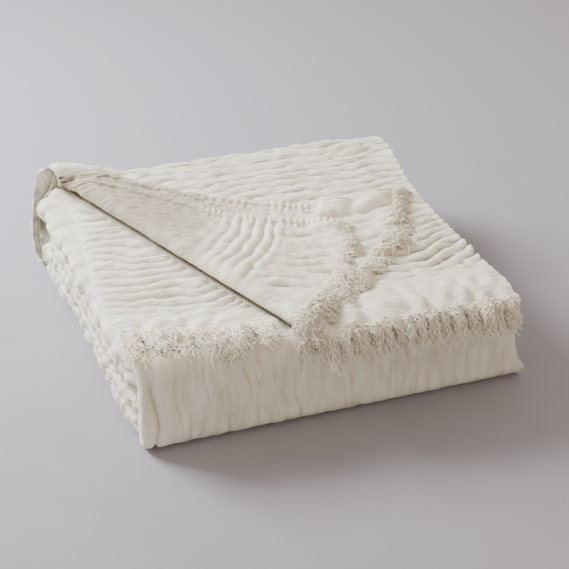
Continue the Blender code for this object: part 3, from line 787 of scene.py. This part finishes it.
def make_end_layer(layer, name):
    """An end layer with its relief, its fringed end bent over the front edge. Returns its points too."""
    points, facts = end_layer(layer)
    by_right_edge = near(facts.from_right, 0.03) * facts.not_turned
    points[..., 0] += by_right_edge * EDGE_SCALLOP * crests(facts.ribs + 0.1)
    by_plain_end = near(facts.from_end, 0.036) * facts.not_turned
    points[..., 1] -= END_OVERHANG * by_plain_end * smooth(facts.from_crease / 0.02)
    x, y, z = np.moveaxis(points, -1, 0)
    rounded = ramp_up(y, 0.170, 0.040) ** 1.5 * ramp_up(x, 0.10, 0.10) * ramp_up(z, 0.02, 0.08)
    points[..., 0] -= CORNER_INSET * rounded
    points[..., 2] -= CORNER_DROP * rounded
    relief = relief_of_end_layer(layer, points, facts)
    points = points + normals_of(points) * relief[..., None]
    crest, painted_shade = painted_shading_of_end_layer(layer, points, relief, facts)
    stiff = END_STIFFNESS * by_plain_end * smooth(facts.from_crease / 0.04)
    bent = mix(over_front_edge(points), points, stiff[..., None])
    on_top = np.arange(len(points)) < FRONT_ROWS + CORNER_ROWS
    points = np.where(on_top[:, None, None], bent, points)
    points[..., 2] = np.maximum(points[..., 2], FLOOR_LAYER_Z + 0.0001)
    u, v = flat_places(points)
    level_u, level_v = level_places(facts)
    levelled = ramp_up(facts.over, 0.04, 0.20)
    u, v = mix(u, level_u, levelled), mix(v, level_v, levelled)
    return add_sheet(name, points, u, v, hems=hem_shares(facts), crest=crest, painted_shade=painted_shade), points


def wrap_points():
    """The outer sheet under the stack, up its front and back over it as the third layer."""
    front_y = FRONT_Y + FRONT_CORNER
    back_y = BACK_Y - BACK_CORNER
    floor_y = np.linspace(back_y, front_y, FLOOR_ROWS)[:-1]
    turn_y, turn_z, _ = turn_section(-1.0, 0, THIRD_LAYER_Z, FLOOR_LAYER_Z, 9, 26)
    third_y = np.linspace(front_y, back_y - 2 * NEST_GAP, THIRD_ROWS)[1:-1]
    end_y, end_z, _ = turn_section(1.0, 2, THIRD_LAYER_Z, 0.030, 6, 8)
    floor_z = np.full(len(floor_y), FLOOR_LAYER_Z)
    third_z = np.full(len(third_y), THIRD_LAYER_Z)
    section_y = np.concatenate((floor_y, turn_y[::-1], third_y, end_y[:-5]))[:, None]
    section_z = np.concatenate((floor_z, turn_z[::-1], third_z, end_z[:-5]))[:, None]
    along_y = np.gradient(section_y[:, 0])
    along_z = np.gradient(section_z[:, 0])
    length = np.hypot(along_y, along_z)
    inward = joined(0.0, along_z / length, -along_y / length)[:, None, :]
    floor_rows = len(floor_y)

    curl = np.linspace(0.0, CURL_WIDTH, CURL_COLUMNS)[1:][::-1]
    main = np.linspace(0.0, 1.0, WRAP_COLUMNS)
    left, right = side_edges(section_y, section_z)
    left = left - THIRD_CORNER_REACH * ramp_up(section_y, 0.150, 0.045) * (section_z > 0.09)
    left[:floor_rows] += FLOOR_EDGE_INSET
    foot = FRONT_FOOT_REACH * bell((section_z - 0.016) / 0.012)
    right = right + np.where(section_y < 0.0, foot, 0.0)
    fade = np.ones_like(section_y)
    fade[:floor_rows] = 0.5
    radius = CURL_RADIUS * fade
    start = left + radius
    angle = np.minimum(curl[None, :] / radius, math.pi / 2)
    curl_x = start - radius * np.sin(angle)
    curl_depth = radius * (1.0 - np.cos(angle)) + np.maximum(curl[None, :] - radius * math.pi / 2, 0.0)
    main_x = mix(start, right, main[None, :])
    x = np.concatenate((curl_x, main_x), axis=1)
    depth = np.concatenate((curl_depth * fade, 0.0 * main_x), axis=1)
    points = joined(x, section_y, section_z) + inward * depth[..., None]
    return points, floor_rows, floor_rows + len(turn_y)


def under_row_y(x):
    """y of the row of fringe on the third layer."""
    return UNDER_ROW_Y - UNDER_ROW_REACH * clamp((x - UNDER_ROW_X[1]) / UNDER_ROW_WIDTH) ** 0.7


def relief_of_third_layer(x, y, left, puffs, under_roll):
    """Ribs, fine crinkle and end puffs of the triangle that the turned corner uncovers."""
    stray = 0.42 * lumps(x, y, 0.10, 41) + 0.13 * lumps(x, y, 0.03, 42)
    strength = 0.80 + 0.30 * lumps(x, y, 0.07, 43)
    behind_row = ramp_up(y - under_row_y(x), 0.020, 0.03)
    from_left = np.maximum(x + 0.205, 0.0)
    level = y + 0.28 * from_left - 15.0 * from_left**3
    ribs = crests(rib_count(level) * 1.04 + stray)
    rib_share = behind_row * (0.30 + 0.70 * ramp_up(x - left, 0.004, 0.020))
    height = rib_share * THIRD_RIB_HEIGHT * strength * ribs
    height += THIRD_CRINKLE_HEIGHT * lumps(x * 0.3, level, 0.0072, 44)
    height += THIRD_PUFF_HEIGHT * puffs
    return mix(height, PRESSED_HEIGHT, smooth(under_roll / 0.5 + 0.6))


def relief_of_front(x, z, wall):
    """Upright crinkles of the front, with the groove inside its left edge."""
    slant = x + 0.05 * z + 0.0022 * lumps(x * 0.5, z, 0.06, 47)
    crinkle = lumps(slant, z * 0.07, 0.0072, 48) + 0.5 * lumps(slant, z * 0.12, 0.0042, 49)
    height = wall * FRONT_CRINKLE_HEIGHT * crinkle * (0.9 + 0.3 * lumps(x, z, 0.05, 50))
    height += wall * FRONT_WAVE_HEIGHT * lumps(x, z * 0.6, 0.050, 51)
    from_groove = x - (FRONT_GROOVE_X + 0.0022 * np.sin((z - 0.02) * 75.0) - 0.02 * (z - 0.06))
    groove = bell(from_groove / FRONT_GROOVE_WIDTH) * ramp_down(z, 0.100, 0.02)
    height -= FRONT_GROOVE_DEPTH * groove
    height += FRONT_WELT_HEIGHT * bell((from_groove - 0.007) / 0.005)
    return height + ramp_down(z, 0.016, 0.014) * FRONT_WAVE_HEIGHT * lumps(x, z, 0.024, 52)


def make_wrap():
    """The outer sheet with the ribs of the uncovered triangle and the crinkles of the front."""
    points, floor_rows, third_row = wrap_points()
    x, y, z = np.moveaxis(points, -1, 0)
    row = np.arange(len(points))[:, None] + 0.0 * x
    third = (row >= third_row) * 1.0
    front = (row >= floor_rows) * (row < third_row) * 1.0
    wall = front * ramp_up(z, 0.004, 0.012) * ramp_down(z, 0.112, 0.012)
    left = side_edges(y, z)[0]
    puffs = end_puff(x, y, y - under_row_y(x))
    share = np.maximum((CREASE_START_Y - y) / end_depth(1), 0.0)
    reach = ROLL_SPREAD_X * roll_radius(share)
    under_roll = (x - crease_x(y) + reach) / reach
    height = third * relief_of_third_layer(x, y, left, puffs, under_roll)
    height += front * relief_of_front(x, z, wall)
    # Painted shadow of the roll over the back of the uncovered triangle
    shaded_back = ramp_up(y, 0.04, 0.12) * ramp_up(x - left, 0.02, 0.03)
    # Painted shade: a dark line under the roll along the crease
    painted_shade = np.maximum(ramp_up(under_roll, 0.42, 0.20), 0.40 * shaded_back)
    # Painted shade fading out over the triangle away from the crease
    painted_shade = np.maximum(painted_shade, 0.42 * ramp_up(under_roll, -1.7, 1.8))
    # Painted light on crests and lobes, painted shade in troughs
    crest = 0.5 + height / PAINTED_SHADING_HEIGHT + 0.5 * third * puffs
    # Painted shade in the troughs, all of it kept to the third layer
    painted_shade = third * np.maximum(painted_shade, 0.50 * ramp_down(crest, 0.60, 0.55))
    corner = ramp_down(x, -0.15, 0.05) * ramp_up(y, 0.165, 0.02) * third
    points = points + normals_of(points) * height[..., None]
    points = points + corner[..., None] * np.array(THIRD_CORNER_SHIFT)
    points[..., 2] = np.maximum(points[..., 2], FLOOR_LAYER_Z - 0.0004)
    u, v = flat_places(points)
    return add_sheet("wrap_cloth", points, u, v, upright=wall, crest=crest, painted_shade=painted_shade)


def arc(centre, radius, start, end, count):
    """Points (y, z) on an arc. An angle of 0 is up and a quarter turn is to the back."""
    angles = np.linspace(start, end, count + 1)
    return [(centre[0] + radius * math.sin(a), centre[1] + radius * math.cos(a)) for a in angles]


def puff_paths():
    """Centre lines of the puffed folds, as (y, z): the top one, and the lower ones with rounded turns."""
    top, upper, lower, bottom = PUFF_HEIGHTS
    turn = (upper - lower) / 2
    front = FRONT_Y + 0.0125
    front_turn = FRONT_Y + 0.0045 + PUFF_THICKNESS / 2 + turn
    back_turn = BACK_Y - 2.4 * NEST_GAP - PUFF_THICKNESS / 2 - turn
    top_path = [(front, top), (0.201, top - 0.0010)]
    lower_path = [(0.152, upper - 0.001)]
    lower_path += arc((front_turn, (upper + lower) / 2), turn, 2.0 * math.pi, math.pi, 14)
    lower_path += arc((back_turn, (lower + bottom) / 2), turn, 0.0, math.pi, 14)
    lower_path += [(front, bottom)]
    return np.array(top_path), np.array(lower_path)


def lengths_along(points):
    """How far each point of a line lies along it."""
    return np.concatenate(([0.0], np.cumsum(np.linalg.norm(np.diff(points, axis=0), axis=1))))


def between(places, lengths, values):
    """Values at some places along a line, between those given at its lengths."""
    return np.stack([np.interp(places, lengths, values[:, k]) for k in range(values.shape[1])], axis=-1)


def make_puffs(name, path, seed):
    """A thick puckered fold of the cloth along a path, with rounded edges left and right."""
    lengths = lengths_along(path)
    walked = np.linspace(0.0, lengths[-1], int(lengths[-1] / PUFF_STEP) + 1)
    path = between(walked, lengths, path)
    heading = unit(np.gradient(path, axis=0))
    from_end = np.minimum(walked, walked[-1] - walked)
    taper = np.sqrt(clamp(1.0 - (1.0 - clamp(from_end / 0.012)) ** 2))[:, None]

    edges = through(PUFF_LEFT, path[:, 0])
    top, middle, lowest = PUFF_HEIGHTS[0], PUFF_HEIGHTS[2], PUFF_HEIGHTS[3]
    high = clamp((path[:, 1] - middle) / (top - middle))
    low = clamp((middle - path[:, 1]) / (middle - lowest))
    left = mix(mix(edges[:, 1], edges[:, 0], high), edges[:, 2], low)[:, None]
    right = (side_edges(path[:, 0], path[:, 1])[1] - 0.0040)[:, None]

    # A ring of points round the fold: x, and t from 1 on its upper side to -1 on its under side
    nose = np.linspace(0.0, math.pi / 2, NOSE_STEPS + 1)
    inset = NOSE_DEPTH * (1.0 - np.sin(nose))
    left_nose = left + inset
    right_nose = right - inset
    half = np.cos(nose) ** 0.72 + 0.0 * left
    flat_x = mix(left + NOSE_DEPTH, right - NOSE_DEPTH, np.linspace(0.0, 1.0, 10)[1:-1])
    flat_t = np.ones_like(flat_x)
    upper_x = (left_nose[:, ::-1], flat_x, right_nose)
    lower_x = (right_nose[:, -2::-1], flat_x[:, ::-1], left_nose[:, :-1])
    x = np.concatenate(upper_x + lower_x, axis=1)
    t = np.concatenate((half[:, ::-1], flat_t, half, -half[:, -2::-1], -flat_t, -half[:, :-1]), axis=1)

    s = walked[:, None]
    side = np.where(x < 0.0, 0.0, 0.4)
    nearest = np.minimum(x - left, right - x)
    near_edge = near(nearest, 0.035)
    puffy = 0.7 * lumps(s, side, 0.032, seed) + 0.7 * lumps(s, side + t * 0.006, 0.017, seed + 1)
    fine = lumps(s, t * 0.007 + side, 0.0100, seed + 2)
    pinch = PUFF_PINCH * smooth(0.1 - 0.9 * puffy)
    half_height = PUFF_THICKNESS / 2 * (1.0 - near_edge * pinch) * taper
    line = t - 0.25 * lumps(s, side, 0.11, seed + 3)
    groove = PUFF_GROOVE_DEPTH * bell(line / 0.13) * smooth(0.3 + lumps(s, side, 0.08, seed + 4))
    groove = groove * near(nearest, 0.008)
    outward = near_edge * (PUFF_RELIEF * puffy + PUFF_FINE_RELIEF * fine) - groove
    x = mix(0.5 * (left + right), x + np.where(x < 0.0, -1.0, 1.0) * outward, 0.93 + 0.07 * taper)
    crumple = near_edge * PUFF_CRUMPLE * lumps(s, nearest, 0.014, seed + 5)
    height = t * half_height + np.sign(t) * crumple * taper * np.abs(t)
    y = path[:, :1] - heading[:, 1:] * height
    z = np.maximum(path[:, 1:] + heading[:, :1] * height, 0.0030)
    # Painted light on the puffy edges and painted shade in their grooves
    crest = 0.5 + near_edge * (0.30 * puffy + 0.20 * fine - 220.0 * groove)
    ring = joined(x, y, z, crest)
    ring = np.concatenate((ring, ring[:, :1]), axis=1)
    points = ring[..., :3]
    u, v = flat_places(points)
    return add_sheet(name, points, u, v, closed=True, crest=ring[..., 3])


def add_threads(name, threads, widths):
    """One mesh of thin tubes along lines of points."""
    curve = bpy.data.curves.new(name, "CURVE")
    curve.dimensions = "3D"
    curve.bevel_depth = THREAD_RADIUS
    curve.bevel_resolution = 0
    curve.use_fill_caps = True
    weights = np.ones((THREAD_POINTS, 1))
    for line, line_widths in zip(threads - MIDDLE, widths):
        spline = curve.splines.new("POLY")
        spline.points.add(THREAD_POINTS - 1)
        spline.points.foreach_set("co", np.concatenate((line, weights), axis=1).reshape(-1))
        spline.points.foreach_set("radius", line_widths)
    shape = bpy.data.objects.new(name + "_lines", curve)
    mesh = bpy.data.meshes.new_from_object(shape)
    mesh.name = name
    bpy.data.objects.remove(shape)
    bpy.data.curves.remove(curve)
    return add_smooth_piece(name, mesh)


def make_fringe(name, edge, outward, seed, kind):
    """Loose curly threads along an edge, gathered in uneven clumps."""
    chance = np.random.default_rng(seed)
    lengths = lengths_along(edge)
    total = lengths[-1]
    count = int(total * kind["per_metre"])
    places = chance.uniform(0.0, total, count)
    clumps = np.cumsum(chance.uniform(0.6, 1.4, int(total / CLUMP_PITCH * 1.5)) * CLUMP_PITCH)
    clumps = clumps[clumps < total]
    stray = chance.normal(0.0, CLUMP_STRAY, (count, 1))
    clump = np.abs(places[:, None] - clumps[None, :] + stray).argmin(axis=1)
    clump_lift = chance.uniform(0.15, 1.0, len(clumps))[clump]
    clump_length = chance.uniform(0.72, 1.20, len(clumps))[clump]
    clump_lean = chance.normal(0.0, 0.22, len(clumps))[clump]
    grid = np.arange(0.0, total, ROOT_STEP)
    root = between(places, grid, between(grid, lengths, edge))
    out = between(places, grid, unit(between(grid, lengths, outward)))
    out[:, 2] = np.maximum(out[:, 2], -0.45)
    out = unit(out)
    side = unit(joined(-out[:, 1], out[:, 0], 0.0))
    up = np.array((0.0, 0.0, 1.0))
    root = root - out * chance.uniform(0.0, ROOT_INSET, count)[:, None] + up * kind["raised"]

    # Along each thread d runs from 0 at its root to 1 at its tip
    d = np.linspace(0.0, 1.0, THREAD_POINTS)[None, :]
    to_clump = clumps[clump] - places
    rounded = 1.0 - 0.40 * np.clip(to_clump / (0.5 * CLUMP_PITCH), -1.0, 1.0) ** 2
    reach = kind["length"] * clump_length * rounded * chance.uniform(0.62, 1.12, count)
    reach = reach * (1.0 - 0.36 * clamp(-2.0 * out[:, 2]))
    gathered = to_clump * np.sign(side[:, 0] * (edge[-1, 0] - edge[0, 0]) + 1e-9)
    sway = 0.55 * gathered[:, None] * smooth(d * 1.3)
    sway += (clump_lean + chance.normal(0.0, 0.14, count))[:, None] * reach[:, None] * d**1.5
    arch = kind["lift"] * clump_lift * rounded * chance.uniform(0.15, 1.0, count)
    droop = kind["droop"] + 0.013 * clamp(-2.5 * out[:, 2])[:, None]
    height = arch[:, None] * np.sin(math.pi * np.minimum(d * 1.1, 1.0)) - droop * d**2
    curl_size = chance.uniform(*THREAD_CURL, count)[:, None] * d**0.6
    curl_pace = chance.uniform(1.2, 2.9, count)[:, None] * chance.choice((-1.0, 1.0), count)[:, None]
    turn = 2.0 * math.pi * curl_pace * d + chance.uniform(0.0, 6.28, count)[:, None]
    sway += curl_size * np.cos(turn)
    height = np.maximum(height + 0.8 * curl_size * np.sin(turn), -droop - 0.0005)
    along = reach[:, None] * d + 0.8 * curl_size * np.sin(turn + 1.3)
    threads = root[:, None, :] + out[:, None, :] * along[..., None] + side[:, None, :] * sway[..., None]
    threads += up * height[..., None]
    if kind["hangs"]:
        threads = mix(threads, over_front_edge(threads), 0.62)
    widths = chance.uniform(0.7, 1.3, count)[:, None] * (1.0 - 0.30 * d)
    return add_threads(name, threads, widths)


def end_of(points):
    """The fringed edge of an end layer from hem to crease, and the way in which its threads leave it."""
    padded = np.pad(points[0] - points[3], ((5, 5), (0, 0)), mode="edge")
    blur = np.ones(11) / 11.0
    outward = np.stack([np.convolve(padded[:, k], blur, mode="valid") for k in range(3)], axis=-1)
    return points[0, ::-1], unit(outward)[::-1]


def add_node(tree, kind, inputs, **settings):
    """A shader node with its settings, and its inputs set to values or linked to other outputs."""
    node = tree.nodes.new(kind)
    for name, value in settings.items():
        setattr(node, name, value)
    for name, value in inputs.items():
        if isinstance(value, bpy.types.NodeSocket):
            tree.links.new(value, node.inputs[name])
        else:
            node.inputs[name].default_value = value
    return node


def calculate(tree, operation, *values):
    """The result of a sum or product."""
    return add_node(tree, "ShaderNodeMath", dict(enumerate(values)), operation=operation).outputs[0]


def noise(tree, place, scale, detail, roughness=0.5):
    """Soft noise over a place."""
    inputs = {"Vector": place, "Scale": scale, "Detail": detail, "Roughness": roughness}
    return add_node(tree, "ShaderNodeTexNoise", inputs).outputs["Fac"]


def waves(tree, place, direction, scale, distortion, detail, detail_scale):
    """Uneven parallel waves over a place."""
    inputs = {"Vector": place, "Scale": scale, "Distortion": distortion}
    inputs.update({"Detail": detail, "Detail Scale": detail_scale})
    return add_node(tree, "ShaderNodeTexWave", inputs, bands_direction=direction).outputs["Fac"]


def gauze_group():
    """Crinkle and weave of the gauze over the flat cloth: a height, and a shade that is painted shade in
    the crinkle's troughs and a random tone of the yarn's nubs.
    """
    tree = bpy.data.node_groups.new("crinkled gauze", "ShaderNodeTree")
    for name, in_out, kind in (
        ("Flat Place", "INPUT", "Vector"),
        ("Upright", "INPUT", "Float"),
        ("Crinkle", "INPUT", "Float"),
        ("Weave", "INPUT", "Float"),
        ("Height", "OUTPUT", "Float"),
        ("Shade", "OUTPUT", "Float"),
    ):
        tree.interface.new_socket(name, in_out=in_out, socket_type="NodeSocket" + kind)
    enter = add_node(tree, "NodeGroupInput", {}).outputs
    flat_place = enter["Flat Place"]

    def stretched(x_scale, y_scale):
        """The flat place, for patterns that repeat so many times a metre across the cloth and along it."""
        inputs = {"Vector": flat_place, "Scale": (x_scale, y_scale, 1.0)}
        return add_node(tree, "ShaderNodeMapping", inputs).outputs["Vector"]

    def added(a, b):
        return calculate(tree, "ADD", a, b)

    def times(a, b):
        return calculate(tree, "MULTIPLY", a, b)

    def creased(across, creases, share):
        """Fine crinkle with some longer creases in it, about 3 mm apart."""
        return added(noise(tree, across, 1.0, 3.0, 0.55), times(creases, share))

    lying = waves(tree, stretched(14.0, 92.0), "Y", 1.0, 5.0, 2.0, 1.4)
    lying = creased(stretched(45.0, 270.0), lying, 0.13)
    standing = waves(tree, stretched(92.0, 7.0), "X", 1.0, 5.0, 2.0, 1.4)
    standing = creased(stretched(230.0, 26.0), standing, 0.10)
    blend = add_node(tree, "ShaderNodeMix", {"Factor": enter["Upright"], "A": lying, "B": standing})
    crinkle = blend.outputs["Result"]
    nubs = noise(tree, stretched(900.0, 900.0), 1.0, 2.0)
    threads = [waves(tree, flat_place, direction, 210.0, 1.6, 1.0, 0.4) for direction in ("X", "Y")]
    weave = added(times(*threads), nubs)
    height = added(times(crinkle, enter["Crinkle"]), times(weave, enter["Weave"]))
    # Painted shade in the troughs of the crinkle, with the yarn's nubs as a random tone
    shade = added(times(crinkle, 0.6), times(nubs, 0.4))
    add_node(tree, "NodeGroupOutput", {"Height": height, "Shade": shade})
    return tree


def weighed_sum(tree, *terms):
    """The sum of some values, each times its weight."""
    total = 0.0
    for value, weight in terms:
        total = calculate(tree, "MULTIPLY_ADD", value, weight, total)
    return total


def own_place(tree):
    """A piece's own place in metres."""
    return add_node(tree, "ShaderNodeTexCoord", {}).outputs["Object"]


def attribute(tree, name):
    """A value that the points of a sheet carry."""
    return add_node(tree, "ShaderNodeAttribute", {}, attribute_name=name).outputs["Fac"]


def toned(tree, tone, colours, start, end):
    """A colour from the first to the second as a tone goes from start to end."""
    ramp = add_node(tree, "ShaderNodeValToRGB", {"Fac": tone})
    for element, colour, position in zip(ramp.color_ramp.elements, colours, (start, end)):
        element.position = position
        element.color = (*colour, 1.0)
    return ramp.outputs["Color"]


def new_material(name):
    """A material and its tree of nodes."""
    material = bpy.data.materials.new(name)
    material.use_nodes = True
    return material, material.node_tree


def give_finish(tree, finish, **inputs):
    """Sets the shader's plain values and links what changes over the surface."""
    shader = tree.nodes["Principled BSDF"]
    for name, value in finish.items():
        shader.inputs[name].default_value = value
    for name, value in inputs.items():
        tree.links.new(value, shader.inputs[name.replace("_", " ")])


def cloth_material():
    """Matt undyed linen gauze, with painted shade in the troughs of its crinkle and in its folds, and
    painted light on its crests.
    """
    material, tree = new_material("crinkled linen")
    flat_map = add_node(tree, "ShaderNodeUVMap", {}, uv_map="flat cloth")
    inputs = {"Flat Place": flat_map.outputs["UV"], "Upright": attribute(tree, "upright")}
    inputs.update({"Crinkle": LINEN_CRINKLE, "Weave": LINEN_WEAVE})
    gauze = add_node(tree, "ShaderNodeGroup", inputs, node_tree=gauze_group())
    broad = noise(tree, own_place(tree), 14.0, 3.0)
    crest = attribute(tree, "crest")
    # Tone of the linen: painted light and shade by crinkle, crests and troughs, with a random broad tone
    tone = weighed_sum(tree, (gauze.outputs["Shade"], 0.50), (broad, 0.25), (crest, 0.46))
    colour = toned(tree, tone, LINEN_COLOURS, 0.25, 0.72)
    # A colour mix has its factor in socket 0, its colours in 6 and 7, and its result in output 2
    # Painted shade: mixes the colour towards the dark colour where a sheet's points carry painted shade
    inputs = {0: attribute(tree, "painted_shade"), 6: colour, 7: LINEN_PAINTED_SHADE_COLOUR}
    shaded = add_node(tree, "ShaderNodeMix", inputs, data_type="RGBA")
    inputs = {"Height": gauze.outputs["Height"], "Distance": 0.0015, "Strength": 1.0}
    bump = add_node(tree, "ShaderNodeBump", inputs)
    give_finish(tree, LINEN_FINISH, Base_Color=shaded.outputs[2], Normal=bump.outputs["Normal"])
    return material


def yarn_material():
    """Loose linen thread: matt, with its tone changing from thread to thread."""
    material, tree = new_material("loose linen yarn")
    tone = noise(tree, own_place(tree), 420.0, 2.0)
    give_finish(tree, YARN_FINISH, Base_Color=toned(tree, tone, YARN_COLOURS, 0.30, 0.65))
    return material


def floor_material():
    """Pale matt floor with a random tone, and painted light that makes it a little lighter towards the
    back.
    """
    material, tree = new_material("studio floor")
    place = own_place(tree)
    axes = add_node(tree, "ShaderNodeSeparateXYZ", {"Vector": place})
    # Painted light: lighter towards the back, with a random tone over it
    tone = weighed_sum(tree, (noise(tree, place, 9.0, 4.0), 0.6), (axes.outputs["Y"], 0.6))
    give_finish(tree, FLOOR_FINISH, Base_Color=toned(tree, tone, FLOOR_COLOURS, 0.0, 0.45))
    return material


def place_and_turn(thing, place, backwards):
    """Puts a camera or lamp in its place, with its back towards a direction."""
    thing.location = place
    thing.rotation_euler = backwards.to_track_quat("Z", "Y").to_euler()


def add_camera():
    """The camera that took the photo."""
    azimuth, elevation = math.radians(CAMERA_AZIMUTH), math.radians(CAMERA_ELEVATION)
    camera = bpy.data.cameras.new("camera")
    camera.sensor_width = SENSOR_WIDTH
    camera.lens = SENSOR_WIDTH * FOCAL_LENGTH_PIXELS / FRAME_PIXELS
    eye = add_object("camera", camera)
    level = math.cos(elevation)
    backwards = Vector((math.sin(azimuth) * level, -math.cos(azimuth) * level, math.sin(elevation)))
    place_and_turn(eye, Vector(CAMERA_PLACE) - Vector(MIDDLE), backwards)
    bpy.context.scene.camera = eye


def add_stage():
    """Floor, sky and two soft lamps."""
    mesh = grid_mesh("studio_floor", 1, 1, FLOOR_SIZE)
    floor = add_object("studio_floor", mesh)
    mesh.materials.append(floor_material())
    world = bpy.data.worlds.new("studio")
    world.use_nodes = True
    for name, value in SKY.items():
        world.node_tree.nodes["Background"].inputs[name].default_value = value
    bpy.context.scene.world = world
    for name, place, size, power, colour in LAMPS:
        light = bpy.data.lights.new(name, "AREA")
        light.shape = "SQUARE"
        light.size = size
        light.energy = power
        light.color = colour
        place_and_turn(add_object(name, light), place, Vector(place) - Vector(LAMP_AIM))


def main():
    """Makes the throw in its studio, attaches its pieces to the root and hides the parts of the model that
    they stand for.
    """
    add_camera()
    add_stage()
    linen = cloth_material()
    yarn = yarn_material()

    top, top_points = make_end_layer(1, "top_cloth")
    under, under_points = make_end_layer(2, "under_cloth")
    wrap = make_wrap()
    top_path, lower_path = puff_paths()
    upper_fold = make_puffs("upper_fold", top_path, 61)
    lower_folds = make_puffs("lower_folds", lower_path, 81)

    fringe_outer = make_fringe("threads_outer", *end_of(top_points), 71, FLAP_FRINGE)
    fringe_inner = make_fringe("threads_inner", *end_of(under_points), 72, FLAP_FRINGE)
    row_x = np.linspace(*UNDER_ROW_X, UNDER_ROW_POINTS)
    row = joined(row_x, under_row_y(row_x), UNDER_ROW_Z)
    forwards = joined(0.0 * row_x, -1.0, 0.0)
    fringe_under = make_fringe("threads_under", row, forwards, 73, FRONT_FRINGE)

    for piece in (top, under, wrap, upper_fold, lower_folds):
        piece.data.materials.append(linen)
        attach(piece, "root")
        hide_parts("cloth")
    threads = (fringe_outer, "fringe_outer"), (fringe_inner, "fringe_inner"), (fringe_under, "fringe_under")
    for piece, node in threads:
        piece.data.materials.append(yarn)
        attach(piece, "root")
        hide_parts(node)


main()
